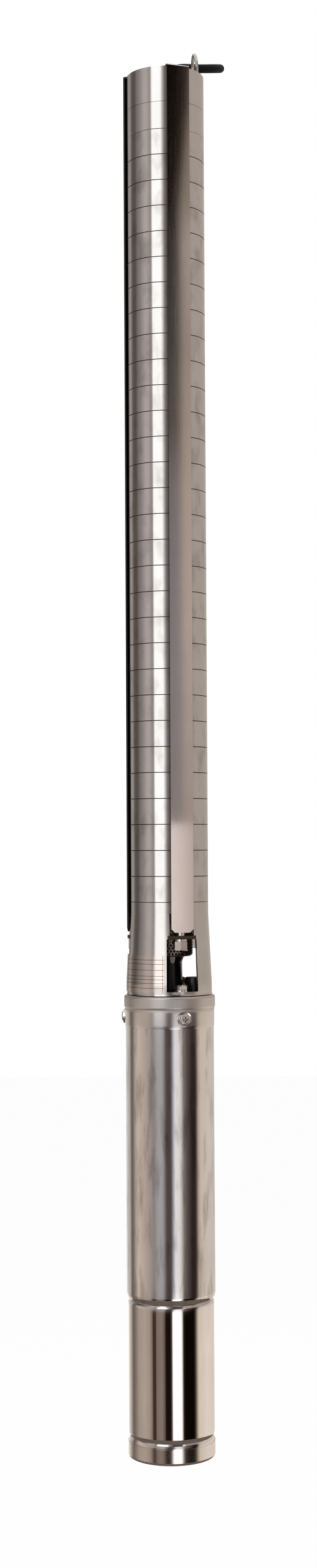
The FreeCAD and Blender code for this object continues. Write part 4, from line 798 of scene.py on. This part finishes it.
def cloth_material(name, tones, upwards, strength):
    """Glow whose tones follow one another upwards, or else round the pump by azimuth."""
    glowing, tree = empty_material(name)
    if upwards:
        low, high = tones[0][0], tones[-1][0]
        share = by_height(tree, low, high, 0.0, 1.0)
    else:
        low, high = -180.0, 180.0
        place = add(tree, "TexCoord")
        front_first = add(tree, "Mapping", {
            "Vector": place.outputs["Object"], "Rotation": (0.0, 0.0, pi / 2)})
        swept = add(tree, "TexGradient", {"Vector": front_first.outputs["Vector"]}, gradient_type="RADIAL")
        share = swept.outputs["Fac"]
    ramp = add(tree, "ValToRGB", {"Fac": share})
    stops = ramp.color_ramp.elements
    while len(stops) < len(tones):
        stops.new(1.0)
    for stop, (where, code) in zip(stops, tones):
        stop.position = (where - low) / (high - low)
        stop.color = rgb(code)
    glow = add(tree, "Emission", {"Color": ramp.outputs["Color"], "Strength": strength})
    add(tree, "OutputMaterial", {"Surface": glow.outputs["Emission"]})
    return glowing


def cloth(name, heights, left, right, tones, radius=SCREEN_R, upwards=False, strength=CLOTH_GLOW):
    """Upright curved cloth; left and right are the azimuths of its sides, each at foot and top."""
    count = max(2, int((right[0] - left[0]) / CLOTH_STEP) + 1)
    points, faces = [], []
    for i in range(count):
        for end, z in enumerate(heights):
            azimuth = left[end] + (right[end] - left[end]) * i / (count - 1)
            points.append(at(azimuth, radius, z))
    for i in range(count - 1):
        faces.append((2 * i, 2 * i + 2, 2 * i + 3, 2 * i + 1))
    hang(name, points, faces, cloth_material(name, tones, upwards, strength))


def hang_cloths():
    """Cloths all round the pump, nearer ones for the front strap, and the flags in front of those."""
    round_left, round_right = (-180.0, -180.0), (180.0, 180.0)
    cloth("stage_cloth", (BRACKET_Z, SCREEN_TOP_Z), round_left, round_right, STAGE_TONES)
    cloth("upper_motor_cloth", (GROOVE_Z, BRACKET_Z), round_left, round_right, UPPER_MOTOR_TONES)
    cloth(
        "lower_motor_cloth", (BOTTOM - FLOOR_DROP, GROOVE_Z), round_left, round_right, LOWER_MOTOR_TONES,
        strength=LOWER_CLOTH_GLOW)
    left, right = [(side, side) for side in PATCH_SPAN]
    edge = (STRAP_VIEW, STRAP_VIEW)
    body, end = (STRAP_END_Z, SCREEN_TOP_Z), (BRACKET_Z, STRAP_END_Z)
    cloth("strap_cloth_left", body, left, edge, STRAP_LEFT_TONES, PATCH_R, upwards=True)
    cloth("strap_cloth_right", body, edge, right, STRAP_RIGHT_TONES, PATCH_R, upwards=True)
    cloth("strap_cloth_end", end, left, right, STRAP_END_TONES, PATCH_R)
    cloth("strap_flag", FLAG_HEIGHTS, left, FLAG_EDGES[:2], DARK_TONES, FLAG_R)
    cloth("strap_top_flag", (FLAG_HEIGHTS[1], SCREEN_TOP_Z), left, FLAG_EDGES[1:], DARK_TONES, FLAG_R)


def seen_directly(tree):
    """1 for what the camera, a metal or a glass shows, 0 for the light on the object."""
    path = add(tree, "LightPath")
    share = path.outputs["Is Camera Ray"]
    for other in ("Is Glossy Ray", "Is Transmission Ray"):
        both = add(tree, "Math", {0: share, 1: path.outputs[other]}, operation="MAXIMUM")
        share = both.outputs[0]
    return share


def make_world():
    """White to look at, and a plain soft light on the object."""
    world = bpy.data.worlds.new("studio")
    bpy.context.scene.world = world
    world.use_nodes = True
    tree = world.node_tree
    tree.nodes.clear()
    light = add(tree, "Background", {"Color": rgb("#f4f2ef"), "Strength": WORLD_LIGHT})
    white = add(tree, "Background", {"Color": rgb("#ffffff"), "Strength": 1.0})
    mixed = add(tree, "MixShader", {0: seen_directly(tree), 1: light.outputs[0], 2: white.outputs[0]})
    add(tree, "OutputWorld", {"Surface": mixed.outputs[0]})


def make_floor():
    """Pale floor that looks nearly white, and keeps the object's shadow in the rest of its tone."""
    z = (BOTTOM - FLOOR_DROP) * MM
    half = FLOOR_HALF_M
    pale, tree = empty_material("pale_floor")
    lit = add(tree, "BsdfDiffuse", {"Color": rgb("#f1f0ee")})
    white = add(tree, "Emission", {"Color": rgb("#ffffff"), "Strength": 1.0})
    share = add(tree, "Math", {0: seen_directly(tree), 1: FLOOR_WHITE}, operation="MULTIPLY")
    mixed = add(tree, "MixShader", {0: share.outputs[0], 1: lit.outputs[0], 2: white.outputs[0]})
    add(tree, "OutputMaterial", {"Surface": mixed.outputs[0]})
    mesh = bpy.data.meshes.new("floor")
    corners = [(-half, -half, z), (half, -half, z), (half, half, z), (-half, half, z)]
    mesh.from_pydata(corners, [], [(0, 1, 2, 3)])
    mesh.materials.append(pale)
    new_object("floor", mesh)


def make_lamp(name, place, size, energy):
    """Soft lamp aimed at the middle of the pump."""
    data = bpy.data.lights.new(name, "AREA")
    data.shape = "RECTANGLE"
    data.size, data.size_y = size
    data.energy = energy
    lamp = new_object(name, data)
    lamp.location = place
    aim = Vector(LAMP_AIM) - Vector(place)
    lamp.rotation_euler = aim.to_track_quat("-Z", "Y").to_euler()
    lamp.visible_camera = False
    lamp.visible_glossy = False


bpy.context.scene.view_settings.view_transform = "Standard"
make_camera()
materials = {**make_steels(), **make_inner_metals(), **make_rubbers_and_plastics()}
dress_nodes(materials)
make_lead(materials["lead"])
make_basket(materials["basket"])
make_valve_coil(materials["wire"])
make_world()
make_floor()
low_flag()
hang_cloths()
for name, lamp in LAMPS.items():
    make_lamp(name, *lamp)
